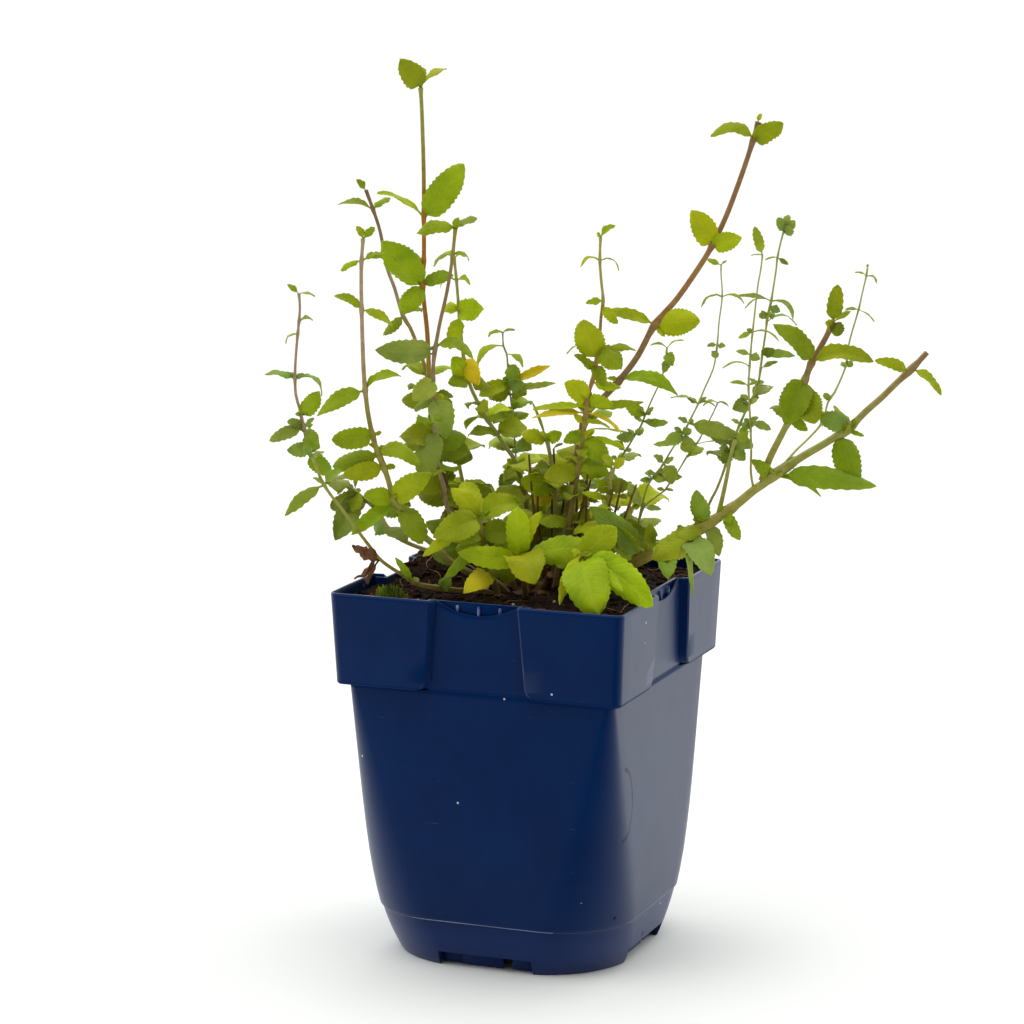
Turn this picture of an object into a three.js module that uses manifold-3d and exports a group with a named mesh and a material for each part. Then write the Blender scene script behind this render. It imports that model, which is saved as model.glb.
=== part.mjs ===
// Catmint growing in a square plastic nursery pot. Millimetres, +Z up, origin on the floor under
// the pot's centre. The pot's sides face -Y, +X, +Y and -X; the plant stands turned in it.
import * as THREE from "three";
import { mergeVertices } from "three/addons/utils/BufferGeometryUtils.js";
import Module from "manifold-3d";

const wasm = await Module();
wasm.setup();

// Driving dimensions of the pot.
const rimWidth = 110;
const collarFootWidth = 107;
const bodyWidth = 100;
const baseWidth = 88;
const potHeight = 135;
const collarBottom = 102;
const wall = 1.2;
const cornerAtCollar = 3;
const cornerAtBase = 32;
const bodyCurve = 5.9;
const recessHalf = 17;
const recessDepth = 3;
const scallopDepth = 5;
const floorUnder = 5.2;
const floorTop = 6.8;
const notchWidth = 36;
const notchHeight = 5.4;
const footPadRadius = 14;
const drainSlot = { length: 9, width: 4, out: 24 };
const pocket = { half: 19.5, bottom: 116, top: 134.2, depth: 3.4, rib: 1.2 };

// Driving dimensions of the plant and its soil.
const plantTurn = THREE.MathUtils.degToRad(21.5);
const gap = 0.3;
const soilGap = 0.5;
const soilLevel = 130.5;
const soilMound = { x: -46, y: 14, height: 7.5, spread: 22 };
const crownSize = new THREE.Vector3(17, 14, 8);
const crownCentre = new THREE.Vector3(4, 0, 126.5);
const leafThickness = 0.9;
const leafFold = 0.18;
const leastLeafWidth = 4;
const ownNodeLeafWidth = 11;
const stemStep = 9;

const colours = {
  pot: 0x10204f,
  soil: 0x2c2019,
  crown: 0x5b4527,
  stem: 0x7c7a2c,
  leaf: 0x86a014,
  moss: 0x5c7a22,
  dried: 0x6e4a26,
  bark: 0x4a2f1e,
};

// Each stem: the shoot that it belongs to, its half thickness at the foot and at the tip, the
// points it grows through, then its leaves. A leaf is the height where it leaves the stem, the
// way from there to its tip (across, away, up), its width, how far its midrib bows up, and how
// much its upper side faces the front (0 faces up, 1 faces the front). All in the plant's frame.
const stems = [
  ["shoot_tall_left", 1.1, 0.7,
    [[-4, 6, 124], [-12, 8, 136], [-22, 8, 148], [-30, 6, 160], [-34, 5, 177], [-36, 5, 197], [-36.5, 5, 214],
      [-37, 5, 224], [-38.5, 6, 239], [-38, 8, 250], [-38, 9, 263], [-38, 10, 279], [-38.5, 11, 298], [-39, 12, 309]],
    [[308.5, -7, -6, 10, 9, 1, 0.9], [308.5, 8.5, 3, 7.5, 6, 1.5, 0.15], [308.5, 0, 6, 7, 5, 1, 0.3],
      [264, -16, 2, 10, 4, 2, 0.1], [264, 14, -4, 19, 11, 2, 0.9], [264, 3, 9, 4, 5, 1.5, 0.2],
      [240, -14, -6, 16, 12, 2, 0.9], [247, -10, -7, 2, 4, 1.5, 0.3], [240, -8, -4, -9, 8, 2, 0.8],
      [239, 11, 2, 4, 6, 2, 0.4], [197, -8, 14, 4, 9, 3, 0.2], [180, 8, 15, 2, 9, 3, 0.2]]],
  ["shoot_left_back", 1.0, 0.6,
    [[-6, 8, 124], [-16, 12, 140], [-26, 13, 155], [-32, 13, 172], [-35, 14, 190], [-37, 15, 205], [-41, 16, 217],
      [-43.5, 17, 223], [-46, 18, 227], [-49, 19, 237], [-51.5, 19, 244], [-54, 20, 257], [-56.5, 20, 265], [-59, 20, 272]],
    [[265, -12.5, 1, 2.5, 4, 2, 0.2], [265, 6, 5, 4, 4, 1, 0.4], [271, -3, -2, 4, 3, 0.5, 0.6],
      [226, -7, -2, -7, 4, 2.5, 0.8], [226, 7, 6, 2, 6, 2, 0.4], [246, -5, -5, 3, 4, 1, 0.4], [246, 5, 6, 3, 4, 1, 0.4],
      [206, 9, 10, 3, 8, 2, 0.2], [206, -9, 7, 3, 8, 2, 0.3], [182, -13, 11, 2, 9, 3, 0.2], [168, -10, 13, -3, 10, 3, 0.1]]],
  ["shoot_left_middle", 1.0, 0.6,
    [[-2, -2, 124], [-10, -6, 140], [-20, -8, 151], [-29, -8, 159.5], [-30.5, -8, 167.5], [-33, -8, 176.5],
      [-34, -8, 191.5], [-34.5, -8, 211.5], [-32.5, -8, 225.5], [-30, -8, 236.5], [-28.5, -8, 244.5],
      [-27.5, -8, 251.5], [-26.5, -8, 261]],
    [[260, -13.5, -2, -1, 6, 3, 0.6], [260, 7.5, 1, 4, 4, 1.5, 0.3], [260.5, 1, -2, 4, 3, 0.5, 0.5],
      [251.5, -7, -1, -3, 3, 2, 0.1], [251.5, 6, 1, -1, 3, 2, 0.1],
      [218, -21, -4, -0.5, 9, 2, 0.85], [216, -16, -2, -1, 4, 1.5, 0.3], [218.5, 13.5, -2, -3, 6, 4, 0.5],
      [208, -7, -7, -6, 8, 1, 0.9], [200, -7, -1, -3.5, 4, 1, 0.5], [201, 4.5, -6, -13, 9, 3, 0.8],
      [190, -5, -8, -15, 10, 2, 0.8]]],
  ["shoot_centre_left", 1.1, 0.5,
    [[2, 8, 124], [0, 11, 140], [-1, 13, 155], [-3.5, 14, 168], [-6, 14, 175.5], [-9, 14, 179.5], [-12, 14, 184.5],
      [-15.5, 14, 189.5], [-19.5, 14, 197], [-22, 14, 203], [-24, 14, 212], [-25.3, 14, 225], [-26.5, 14, 240],
      [-27.3, 14, 248]],
    [[247.5, -4, 1, 2, 3, 1, 0.3], [247.5, 4, -1, 1, 3, 1, 0.3], [241, -6, 2, -2, 3, 2, 0.2], [241, 5, -1, -1, 3, 2, 0.2],
      [230.5, 8.5, -3, 1, 9, 1.5, 0.85], [230.5, -6, 3, 1, 6, 1.5, 0.5], [228, -3.5, -5, -11, 6, 2, 0.9],
      [211, 5, -5, -9, 7, 1, 0.9], [205, -5, -4, 8, 7, 1, 0.8], [190, 9, 6, 3, 7, 2, 0.3], [190, -8, 9, -4, 8, 2, 0.3],
      [172, 9, 11, 1, 8, 2, 0.2]]],
  ["shoot_left_front", 1.3, 0.6,
    [[-4, -4, 124], [-12, -9, 134], [-20, -12, 137.5], [-28, -14, 142.5], [-33, -15, 148], [-41, -17, 155.5],
      [-48.3, -19, 165.5], [-49.3, -20, 169.7], [-51, -20, 175.7], [-54, -20, 183.7], [-55.3, -20, 187.7],
      [-57, -20, 195.7], [-58, -20, 203.7], [-58.7, -20, 213.7], [-59.2, -20, 233.7], [-59.2, -20, 248.7],
      [-58.5, -20, 258.7]],
    [[258.5, -2, -1, 4.5, 3, 0.5, 0.6], [258.5, 4, 1, 4, 3, 0.5, 0.6], [250.5, -7.4, -1, -3, 3.5, 1.5, 0.4],
      [250.5, 8, 1, 3, 3.5, 1, 0.4], [234, -9.3, -1, 5.5, 4, 1.5, 0.4], [234, 11, -1, -5, 4, 3, 0.5],
      [205.5, 12, -1, 6, 5, 2, 0.5], [205.5, -17, -3, -8.5, 7, 4, 0.7], [189, -14, -5, -1, 8, 2, 0.85],
      [183, 15, -3, -4, 7, 5, 0.4], [181, -17, 3, -4, 8, 2, 0.8], [178, -14, -5, -2, 7, 2, 0.8],
      [166, 13, -6, 11, 9, 2, 0.8], [167, -9, -6, 1, 7, 2, 0.85], [165, -15, -5, -11, 6, 2, 0.7],
      [163, 8, -9, -10, 9, 2, 0.9]]],
  ["shoot_far_left", 0.9, 0.45,
    [[-10, 16, 124], [-22, 20, 134], [-32, 24, 137.5], [-42, 27, 140.5], [-47, 29, 142.5], [-52, 30, 146.5],
      [-55.3, 31, 151.5], [-59.5, 32, 156], [-67.5, 33, 162], [-71.7, 33, 165], [-75.8, 34, 168], [-81, 34, 173.7],
      [-82.5, 34, 181.7], [-83.5, 34, 185.7], [-84.5, 34, 190.7], [-85.8, 34, 195.7], [-86, 34, 203.7],
      [-85.3, 34, 213.7], [-84, 34, 226.7], [-84.3, 34, 233]],
    [[232.5, -4, 0, 3.5, 2.5, 0.5, 0.5], [232.5, 6, 0, -0.5, 2.5, 1, 0.3], [223, 5, 0, 1, 3, 0.8, 0.3],
      [218, -5, 1, -3, 3, 1.5, 0.2], [202, -11, 1, 2.5, 4, 1.5, 0.3], [202, 10, 0, -6, 4, 4, 0.3],
      [187, 7, -3, 9, 7, 1, 0.9], [184, -12.5, -2, -5, 5, 2, 0.7], [183, -6, 0, 2, 4, 1, 0.7],
      [181, 5, -5, -5, 7, 1, 0.9], [176, -7, -4, 0, 6, 1, 0.9], [174, 8, -3, -7, 7, 1, 0.8],
      [160, -7, -6, -17, 9.5, 2, 0.9], [160, 1, -6, -7, 6, 1, 0.9], [160, 2, 3, 11, 2, 1, 0.2]]],
  ["shoot_low_left", 0.9, 0.5,
    [[-2, -8, 124], [-14, -16, 132], [-27.5, -21, 134], [-39.3, -24, 136.5], [-43.3, -25, 139], [-52, -26, 145],
      [-57, -26, 151], [-64.8, -27, 162], [-72.5, -28, 173], [-76.5, -28, 183]],
    [[173, -14, -3, -10, 5, 1, 0.8], [173, 6, 3, 5, 4, 1, 0.4], [182.5, -3, 0, 4, 3, 0.5, 0.5],
      [182.5, 4, 1, 2, 3, 0.5, 0.4], [137.5, -6, -2, 9, 3, 1.5, 0.8], [135, 3, -6, 5, 5, 1, 0.8]]],
  ["shoot_centre_back", 0.9, 0.45,
    [[6, 22, 124], [4, 28, 140], [0, 34, 155], [-3, 38, 165], [-5, 40, 170.5], [-6, 40, 182.5], [-7, 40, 192.5],
      [-7.8, 40, 199], [-8.2, 40, 206], [-8.6, 40, 210], [-9.8, 40, 213], [-10, 40, 218]],
    [[217.5, -5.5, 0, -1.5, 2.5, 1, 0.3], [217.5, 4.5, 0, 1, 2.5, 1, 0.3], [213, -10, 1, -8, 4, 4, 0.3],
      [209.5, 6.5, 0, -4.5, 3, 2, 0.3], [205, 4, -4, -6, 6, 1, 0.9], [199.5, 15, -2, 7, 4, 1, 0.5],
      [197, 17, 1, 2.5, 3.5, 1, 0.4], [197, 5, -4, 3, 6, 1, 0.9], [198, -11, -2, -4, 6, 1.5, 0.8],
      [188, -9, -2, -3, 5, 1.5, 0.8], [188, 7, 9, 2, 7, 2, 0.3], [176, -10, 12, 1, 9, 2, 0.2], [176, 10, 12, 2, 9, 2, 0.2],
      [162, -8, 15, -3, 10, 3, 0.1], [160, 9, 14, -2, 10, 3, 0.1]]],
  ["shoot_centre_right", 1.1, 0.45,
    [[8, -4, 124], [10, -6, 140], [12.8, -8, 152], [15.8, -9, 167], [18.8, -10, 188], [19.3, -10, 194],
      [20.3, -10, 202], [21.8, -10, 207], [23.3, -10, 215], [24.3, -10, 222], [24.8, -10, 230], [25.5, -10, 236],
      [24.8, -10, 243], [24.3, -10, 250], [24.5, -10, 258]],
    [[257.5, 5, 1, 4.5, 3, 0.8, 0.3], [257.5, -1, -1, 2, 2, 0.3, 0.5], [250.5, -7, -1, -1.5, 2.5, 2, 0.1],
      [250.5, 7, 1, -3.5, 2.5, 2.5, 0.1], [235.5, -6, -2, -0.5, 3, 0.5, 0.7], [235, 5, -3, -6, 4, 2, 0.8],
      [216, -5, -5, 14, 11, 1, 0.9], [217, 8, -5, -5, 9, 3, 0.8], [213, 3, -5, -7, 5, 0.5, 0.9],
      [217, -11, 1, 0, 3, 3, 0.1], [216, 14, 2, 3, 4, 4, 0.4], [210.5, -7, -1, 6, 4, 1, 0.5],
      [207, 10, -2, -1.5, 4, 0.5, 0.8], [201, -8, -5, 7, 8, 1, 0.9], [200.5, 9, -4, -1, 5, 1, 0.85],
      [197, 20, -2, 2.5, 3.5, 1, 0.5], [193, 9, 0, -1.5, 2.5, 1, 0.4], [196, 13, 1, -7, 2.5, 3, 0.3],
      [189, -7, -4, -2, 5, 1, 0.8], [187, 9, -4, -7, 8, 1, 0.85], [186, 15, -2, -3, 3, 1, 0.4],
      [179, 10, -5, -3, 7, 1, 0.8], [198.5, -19, 1, 0, 3.5, 1, 0.4], [196, -19, -2, -0.5, 4, 1, 0.5]]],
  ["shoot_arching_right", 1.5, 0.9,
    [[12, 0, 124], [13.5, 1, 140], [14, 2, 150], [15.5, 4, 171], [18.5, 5, 187], [21, 6, 194], [26, 7, 198.5],
      [31.7, 8, 204.5], [38.4, 9, 213.3], [44.6, 10, 224.7], [52.6, 12, 233.8], [60.8, 13, 245.6], [64.9, 14, 252.4],
      [70.1, 16, 263], [75.3, 18, 276.7], [78.9, 19, 287.5], [81.5, 20, 296.3]],
    [[289, -15, -2, 2.5, 6, 6, 0.5], [289.5, 10.5, -3, 6, 8, 0.5, 0.9], [295.8, 1, 0, 3, 2, 0.3, 0.3],
      [253, -7, -5, 13, 10, 1, 0.95], [253, 10, -5, 3.5, 8, 1, 0.9], [225, -19, -3, 6, 5, 4, 0.5],
      [225, 15, -6, 2.5, 11, 1, 0.9], [224, 3.5, -2, -4, 2.5, 0.5, 0.7], [204, 21, -4, -3, 7, 4, 0.6],
      [190, 10, 10, 3, 8, 2, 0.3], [176, 9, 11, 0, 9, 2, 0.3]]],
  ["shoot_right_back", 0.8, 0.45,
    [[14, 8, 124], [15, 12, 142], [17, 16, 150], [20, 20, 158], [25, 24, 162], [29, 26, 166.5], [32.4, 28, 172],
      [36, 28, 177.5], [38.5, 28, 182], [40.5, 28, 185], [42, 28, 189], [45, 28, 196], [47.7, 28, 202],
      [49.2, 28, 208], [49.8, 28, 214]],
    [[213.5, -6, 0, 1, 2, 1, 0.2], [213.5, 6, 0, 3, 2.5, 1, 0.2], [212, 2, -4, -4, 5, 0.5, 0.9],
      [211, -1, -3, -5, 4, 0.5, 0.8], [186, 9, -2, 0, 4, 0.3, 0.8], [188, -8, -4, 6, 6, 1, 0.9],
      [181.5, -7, -2, -1, 5, 1.5, 0.8], [182, -15, 1, 3, 2, 0.5, 0.2], [176, -4, 0, 4, 3, 0.3, 0.5],
      [172.5, 8, 11, 1, 8, 2, 0.3], [163, -5, 15, -1, 9, 2, 0.2]]],
  ["shoot_right_thin", 0.8, 0.4,
    [[12, -8, 124], [20, -11, 133], [30, -13, 141], [36.5, -14, 150], [39, -15, 161], [41.6, -16, 171], [46, -16, 177],
      [50, -17, 184], [54.4, -18, 191], [56.8, -18, 195.8], [59, -18, 200.3], [61, -18, 205.3], [64, -18, 212.3],
      [65, -18, 217.3], [65.6, -18, 223.3], [66, -18, 229.3], [67, -18, 238.3], [66.5, -18, 246.3], [66.5, -18, 249.5]],
    [[249, -5, -1, 2, 2.5, 0.5, 0.6], [249, 2, 1, 1.5, 1.5, 0.3, 0.3], [238, -7.5, -1, -3.5, 2.5, 2.5, 0.2],
      [238, 8, 0, -2, 2.5, 2, 0.1], [222, -3.5, -1, 0, 2.5, 0.3, 0.6], [221, 2.5, -2, 0, 3, 0.3, 0.6],
      [219, -1, -3, -2, 4, 0.3, 0.9], [201, -9.5, 0, 3, 3, 1.5, 0.3], [201, 6, 2, -1, 2, 1, 0.2],
      [194.5, 17, -3, -4, 7, 1, 0.85], [190, -6, -4, -2, 6, 0.5, 0.9], [188, -9, -2, -1.5, 3, 0.5, 0.7],
      [190, 3, -3, 2, 4, 0.3, 0.8], [178, 3, -5, -6, 7, 0.5, 0.9], [174, 5, -3, 0, 3, 0.3, 0.7],
      [174, -4, -3, 0, 3, 0.3, 0.7], [175, 9, -2, -1, 4, 0.3, 0.8], [164, -5, 5, 8, 5, 1, 0.7]]],
  ["shoot_right_inner", 0.7, 0.4,
    [[20, 2, 126], [30, 5, 140], [38.5, 7, 152], [41, 8, 158.5], [45.3, 9, 162], [48.8, 10, 164.5], [50.4, 10, 167],
      [53, 10, 170.7], [56.5, 10, 176.7], [59, 10, 180], [61, 10, 183], [63, 10, 187], [64, 10, 189], [66, 10, 193],
      [67.5, 10, 196.5]],
    [[196, -5.5, 0, -1, 2.5, 1.5, 0.3], [196, 4, 0, -1.5, 2, 1, 0.3], [189, 6, 0, -0.5, 1.5, 0.5, 0.2],
      [182, -6, -3, -1, 6.5, 0.5, 0.9], [182, 9, 0, 1.5, 1.2, 0.3, 0.1], [165, -3, 0, 0.5, 2, 0.2, 0.5],
      [165, 3, 0, 0, 2, 0.2, 0.5], [158, 6, -2, 0, 3, 0.5, 0.7], [176, 6, 7, 3, 5, 1, 0.3], [150, 10, 11, 2, 9, 2, 0.2]]],
  ["shoot_right_slender", 1.1, 0.5,
    [[24, -2, 126], [40, -1, 140], [55, 0, 150], [62, 0, 157], [65, 0, 163], [67, 0, 167], [69.5, 0, 174], [72, 0, 183],
      [74, 0, 188], [76.5, 0, 194], [79, 0, 199], [81, 0, 204], [82, 0, 210], [82.5, 0, 215], [83.5, 0, 222],
      [84, 0, 227], [84.5, 0, 230], [85.5, 0, 234.5], [86, 0, 238], [87, 0, 245], [87.5, 0, 250], [88.5, 0, 255],
      [89.5, 0, 259]],
    [[258.5, -2, -1, 5, 5, 0.5, 0.9], [258.5, 4, -1, 4, 5, 0.5, 0.9], [258.5, 2, 2, 6, 4, 0.5, 0.8],
      [258.5, 3, -3, 1, 5, 0.3, 0.9], [250, -4.5, 0, -0.5, 2, 0.5, 0.2], [250, 4, 0, -2.5, 2.5, 0.5, 0.6],
      [235, -13, 0, 2, 2.5, 2, 0.3], [234.5, 8, -1, -6.5, 3, 3.5, 0.5], [234, -9.5, 0, -2, 2, 2, 0.2],
      [232, 3, -4, -1, 4, 0.3, 0.9], [231, -3, -3, -1, 4, 0.3, 0.9], [230, 3, 3, -1, 4, 0.3, 0.8],
      [227, 11, 2, -1, 2, 3, 0.2], [214.5, 4, -3, 2.5, 5, 0.5, 0.9], [214, 11.5, -2, 0, 4, 0.8, 0.7],
      [209.5, 6, 0, 3, 2.5, 0.5, 0.4], [203.5, 5.5, 1, -0.5, 1.5, 0.5, 0.2], [197, -6, -4, -1, 7, 0.5, 0.9],
      [186, -9, -4, 1, 6.5, 1, 0.85], [186, 6, -5, -3, 7, 0.5, 0.9], [190, 4, -2, -1, 3, 0.3, 0.8],
      [180, -3, -5, -4, 5, 0.5, 0.8], [181, 5, -5, -3, 6, 0.5, 0.7], [199, 7, 10, 3, 7, 2, 0.2], [176, -6, 12, 2, 8, 2, 0.2]]],
  ["shoot_reaching_right", 2.2, 0.9,
    [[12, -8, 125], [24.7, -12, 136.2], [31.4, -16, 141], [39.3, -20, 145.7], [50, -22, 151.5], [60.7, -24, 157.4],
      [68.6, -24, 162.4], [74.5, -24, 167], [78.4, -24, 170.4], [81.4, -24, 172.4], [84.3, -24, 175],
      [90.2, -23, 178.7], [96.2, -22, 182.5], [102.4, -20, 185.7], [106.4, -19, 188], [111.4, -18, 190.8],
      [114.5, -17, 193.6], [118.5, -16, 197.5], [123.6, -14, 201.6], [128.7, -12, 206.2], [133.4, -11, 210.5],
      [135.9, -11, 213], [140, -10, 217.3]],
    [[210.5, -12, -2, 4.5, 5, 2.5, 0.7], [212, 10.5, -2, -9, 4.5, 2.5, 0.6], [192, -11, -7, 5, 9, 1, 0.9],
      [190.8, 6, -2, -1.5, 2.5, 0.3, 0.5], [190, 4, -9, -18, 12, 2, 0.9], [191, -4, 6, 8, 6, 1, 0.3],
      [176, 35, -5, -2.5, 10, 4, 0.8], [178, 6, 5, 4, 5, 0.5, 0.8], [175, -7, -5, 7, 6, 1, 0.85],
      [175, 18, -3, -5, 3.5, 2, 0.5], [163, 5, -4, -9, 6, 0.5, 0.9], [163, 1, -4, -3, 5, 0.3, 0.8],
      [157, -3, -6, 13, 8.5, 1, 0.95], [157, -11, -10, -1, 8, 1, 0.7], [156, -16, -18, -6, 12, 2, 0.8],
      [152, 10, -24, -6, 12, 3, 0.6], [150, 2, -24, -4, 10, 2, 0.6], [154, 1, -26, -16, 3, 3, 0.5],
      [158.5, 3, -8, -10, 7, 0.5, 0.9], [146, -18, -12, 20, 11, 3, 0.8], [147, 1, -12, 13, 6, 1, 0.9],
      [145, -9, -10, 14, 10, 1, 0.9]]],
  ["shoot_right_pair", 0.9, 0.6,
    [[65.8, -24, 160.7], [67.5, -22, 167], [69, -21, 174], [70.5, -20, 182], [72, -20, 188]],
    [[187.5, 4, -3, 3, 4, 0.5, 0.8], [187.5, -4, 2, 2, 4, 0.5, 0.5]]],
  ["shoot_right_upright", 0.8, 0.45,
    [[78.4, -24, 171], [77.4, -24, 176.5], [77.4, -24, 184.5], [77, -24, 194.5], [76.5, -24, 201.5], [76.2, -24, 207.5],
      [76.5, -24, 214.5], [77.2, -24, 224.5], [78, -24, 232.5], [79, -24, 242.5], [80, -24, 248.5], [80.5, -24, 253.5]],
    [[253, -3, -3, 10, 4.5, 0.5, 0.9], [253, -4, 1, 0, 1, 0.3, 0.2], [226, 9.5, 0, -3, 2.5, 2, 0.3],
      [226, -5, -1, -2, 2.5, 0.5, 0.7], [227, -2, 0, 1, 2, 0.2, 0.5], [218, -5, -1, 1.5, 2.5, 0.5, 0.7],
      [218, 3, -3, -1, 4, 0.3, 0.8], [215, -9.5, 0, 0, 2.5, 2, 0.2], [206.5, -6.5, 0, 1.5, 2.5, 1, 0.3],
      [206.5, 3, -1, 2, 2, 0.3, 0.4], [194.5, 7, -3, -2, 4, 0.5, 0.8], [193, -4, -2, -1, 3, 0.3, 0.8]]],
  ["shoot_right_thick", 1.3, 1.0,
    [[81.2, -25, 174], [83.6, -25, 181.3], [86, -26, 186.8], [89, -26, 192.8], [91, -26, 196.8], [95, -26, 207.8],
      [96.4, -26, 211.8], [97.9, -26, 215.8], [99.8, -26, 219.3], [102.8, -26, 224.8], [105.3, -26, 230.3]],
    [[229.8, 1, -3, 13, 7, 1, 0.9], [229.8, 6, 2, 4, 3, 0.5, 0.5], [229.8, 1.5, -5, -4, 6, 0.5, 0.95],
      [229, -2, -4, 2, 5, 0.5, 0.9], [215.5, -13, -2, 14, 9, 5, 0.75], [215.8, 21, -5, 2, 8, 6, 0.6],
      [210, -7, -6, -15, 13, 2, 0.9], [205, 4, -9, -10, 12, 1, 0.9], [207, 5, -2, -4, 4, 1, 0.5],
      [201, 10, -4, -3, 6, 1.5, 0.7], [196, 5, -5, -4, 5, 0.5, 0.9], [197, -6, 12, 2, 8, 2, 0.2]]],
  ["shoot_right_far", 0.7, 0.4,
    [[83.3, -24, 173.5], [89.5, -16, 178.3], [94.5, -8, 182], [99.5, 0, 185], [104.5, 4, 190], [107, 8, 197],
      [109.5, 10, 200.2], [112.5, 10, 207.2], [113.6, 10, 211.2], [114.4, 10, 218.2], [116.5, 10, 226.2],
      [117.6, 10, 230.2], [118.6, 10, 235.2], [120.1, 10, 242.2], [120.5, 10, 245]],
    [[243, -4, 0, 1.5, 1.2, 0.7, 0.2], [243, 4, 0, -2.5, 1.5, 1.5, 0.2], [244.5, 0, 0, 1.5, 1, 0.2, 0.2],
      [230, -5, 0, 0, 1.8, 0.5, 0.2], [230, 6, 0, -4, 1, 0.5, 0.1], [211, -2, -2, -1, 3, 0.3, 0.8],
      [211, 2, -2, -1, 3, 0.3, 0.8], [199, -3, -2, 1, 3, 0.3, 0.6], [190, 6, 8, 2, 6, 1.5, 0.2]]],
  ["shoot_front_centre", 1.2, 0.9,
    [[-2, -10, 124], [-2, -18, 134], [-3, -24, 141], [-4, -28, 148]],
    [[147, -21.5, -4, 3, 8, 3, 0.75], [147, 5, -17, -5, 14, 5, 0.6], [147, 29, -5, 5, 10, 4, 0.6],
      [147, -1, -3, 19, 9, 1, 0.9], [147, 7, -2, 17, 5, 0.5, 0.8]]],
  ["shoot_front_left", 1.2, 0.8,
    [[-10, -12, 124], [-14, -18, 140], [-17, -22, 152], [-18, -24, 161]],
    [[160, -16, -7, -6, 11, 4, 0.6], [160, -20, -6, -13, 5, 2, 0.8], [152, -14, -6, -13, 5, 1, 0.6],
      [140, -9, -24, -2, 8, 2, 0.7], [160, -10, 2, 10, 7, 2, 0.6], [160, 14, 5, 4, 9, 2, 0.5],
      [160, -6, 9, 11, 8, 2, 0.5]]],
  ["shoot_front_right", 1.3, 0.9,
    [[14, -14, 124], [17, -26, 138], [18, -36, 146], [18, -40, 151]],
    [[150.5, -8, -14, -15, 4, 1, 0.8], [149, 5, -22, -15, 15, 3, 0.75], [149, 23, -18, -13, 11, 3, 0.7],
      [149, 13, -20, -8, 4, 1, 0.8], [150, 12, 2, 10, 10, 1, 0.9]]],
  ["shoot_inner_right", 1.0, 0.7,
    [[16, -6, 124], [24, -12, 142], [28, -16, 154], [27.5, -18, 166], [29, -18, 177]],
    [[168, -4, -3, 5, 5, 0.5, 0.8], [170, 6, -3, 2, 6, 0.5, 0.8], [166, -9, -2, 3, 3, 0.5, 0.7],
      [176.5, -3, 2, 5, 4, 0.5, 0.5], [176.5, 4, 1, 4, 4, 0.5, 0.5], [154, 12, 8, 3, 9, 2, 0.4]]],
  ["shoot_inner_left", 1.0, 0.7,
    [[8, 2, 124], [9, 3, 148], [8.5, 3, 169], [6, 2, 184]],
    [[168, -12, -4, 3, 9, 2, 0.8], [164, -8, 3, -2, 5, 1, 0.7], [183.5, -9, -3, 3, 6, 1, 0.8],
      [183.5, 5, -2, 3, 5, 1, 0.8], [183.5, -5, 1, 14, 1.2, 0.5, 0.2]]],
  ["shoot_inner_back", 1.1, 0.8,
    [[13, 10, 124], [13.5, 12, 150], [15, 14, 167], [20, 15, 176]],
    [[174, 8, -3, 1, 7, 1, 0.8], [175, -9, 8, 3, 8, 2, 0.4], [160, 10, 11, -2, 9, 2, 0.3], [160, -10, 10, 0, 8, 2, 0.3]]],
  ["shoot_back_left", 1.1, 0.7,
    [[-8, 18, 124], [-18, 34, 142], [-24, 44, 158], [-27, 48, 171]],
    [[170.5, -10, 8, 3, 8, 2, 0.2], [170.5, 10, 9, 2, 8, 2, 0.2], [158, -14, 9, -2, 11, 3, 0.15],
      [158, 9, 13, -4, 10, 3, 0.1], [144, -13, 13, 0, 12, 3, 0.1], [144, 12, 14, -3, 11, 3, 0.1]]],
  ["shoot_back_middle", 1.1, 0.7,
    [[4, 20, 124], [6, 34, 142], [8, 46, 156], [8, 50, 167]],
    [[166.5, -10, 6, 2, 8, 2, 0.2], [166.5, 10, 8, 2, 8, 2, 0.2], [155, -9, 15, -5, 11, 3, 0.1],
      [155, 13, 12, -4, 11, 3, 0.1], [143, -14, 12, -4, 11, 3, 0.1]]],
  ["shoot_back_right", 1.1, 0.7,
    [[16, 16, 124], [26, 32, 137], [35, 43, 145], [38, 48, 151]],
    [[150.5, -10, 12, 2, 10, 3, 0.2], [150.5, 14, 6, 2, 11, 3, 0.2], [145, 4, 18, -6, 12, 3, 0.1],
      [142, 15, -4, 3, 10, 3, 0.3]]],
];

// A closed mesh as a solid for joining and cutting.
function solidOf(geometry) {
  const bare = geometry.clone();
  bare.deleteAttribute("normal");
  bare.deleteAttribute("uv");
  const merged = mergeVertices(bare, 1e-4);
  const mesh = new wasm.Mesh({
    numProp: 3,
    vertProperties: new Float32Array(merged.attributes.position.array),
    triVerts: new Uint32Array(merged.index.array),
  });
  return new wasm.Manifold(mesh);
}

// A solid as a named mesh with its own material.
function meshOf(name, solid, colour, roughness = 0.6) {
  const data = solid.getMesh();
  const geometry = new THREE.BufferGeometry();
  geometry.setAttribute("position", new THREE.BufferAttribute(data.vertProperties, data.numProp));
  geometry.setIndex(new THREE.BufferAttribute(data.triVerts, 1));
  geometry.computeVertexNormals();
  const material = new THREE.MeshStandardMaterial({ color: colour, roughness, metalness: 0 });
  const mesh = new THREE.Mesh(geometry, material);
  mesh.name = name;
  return mesh;
}

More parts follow.
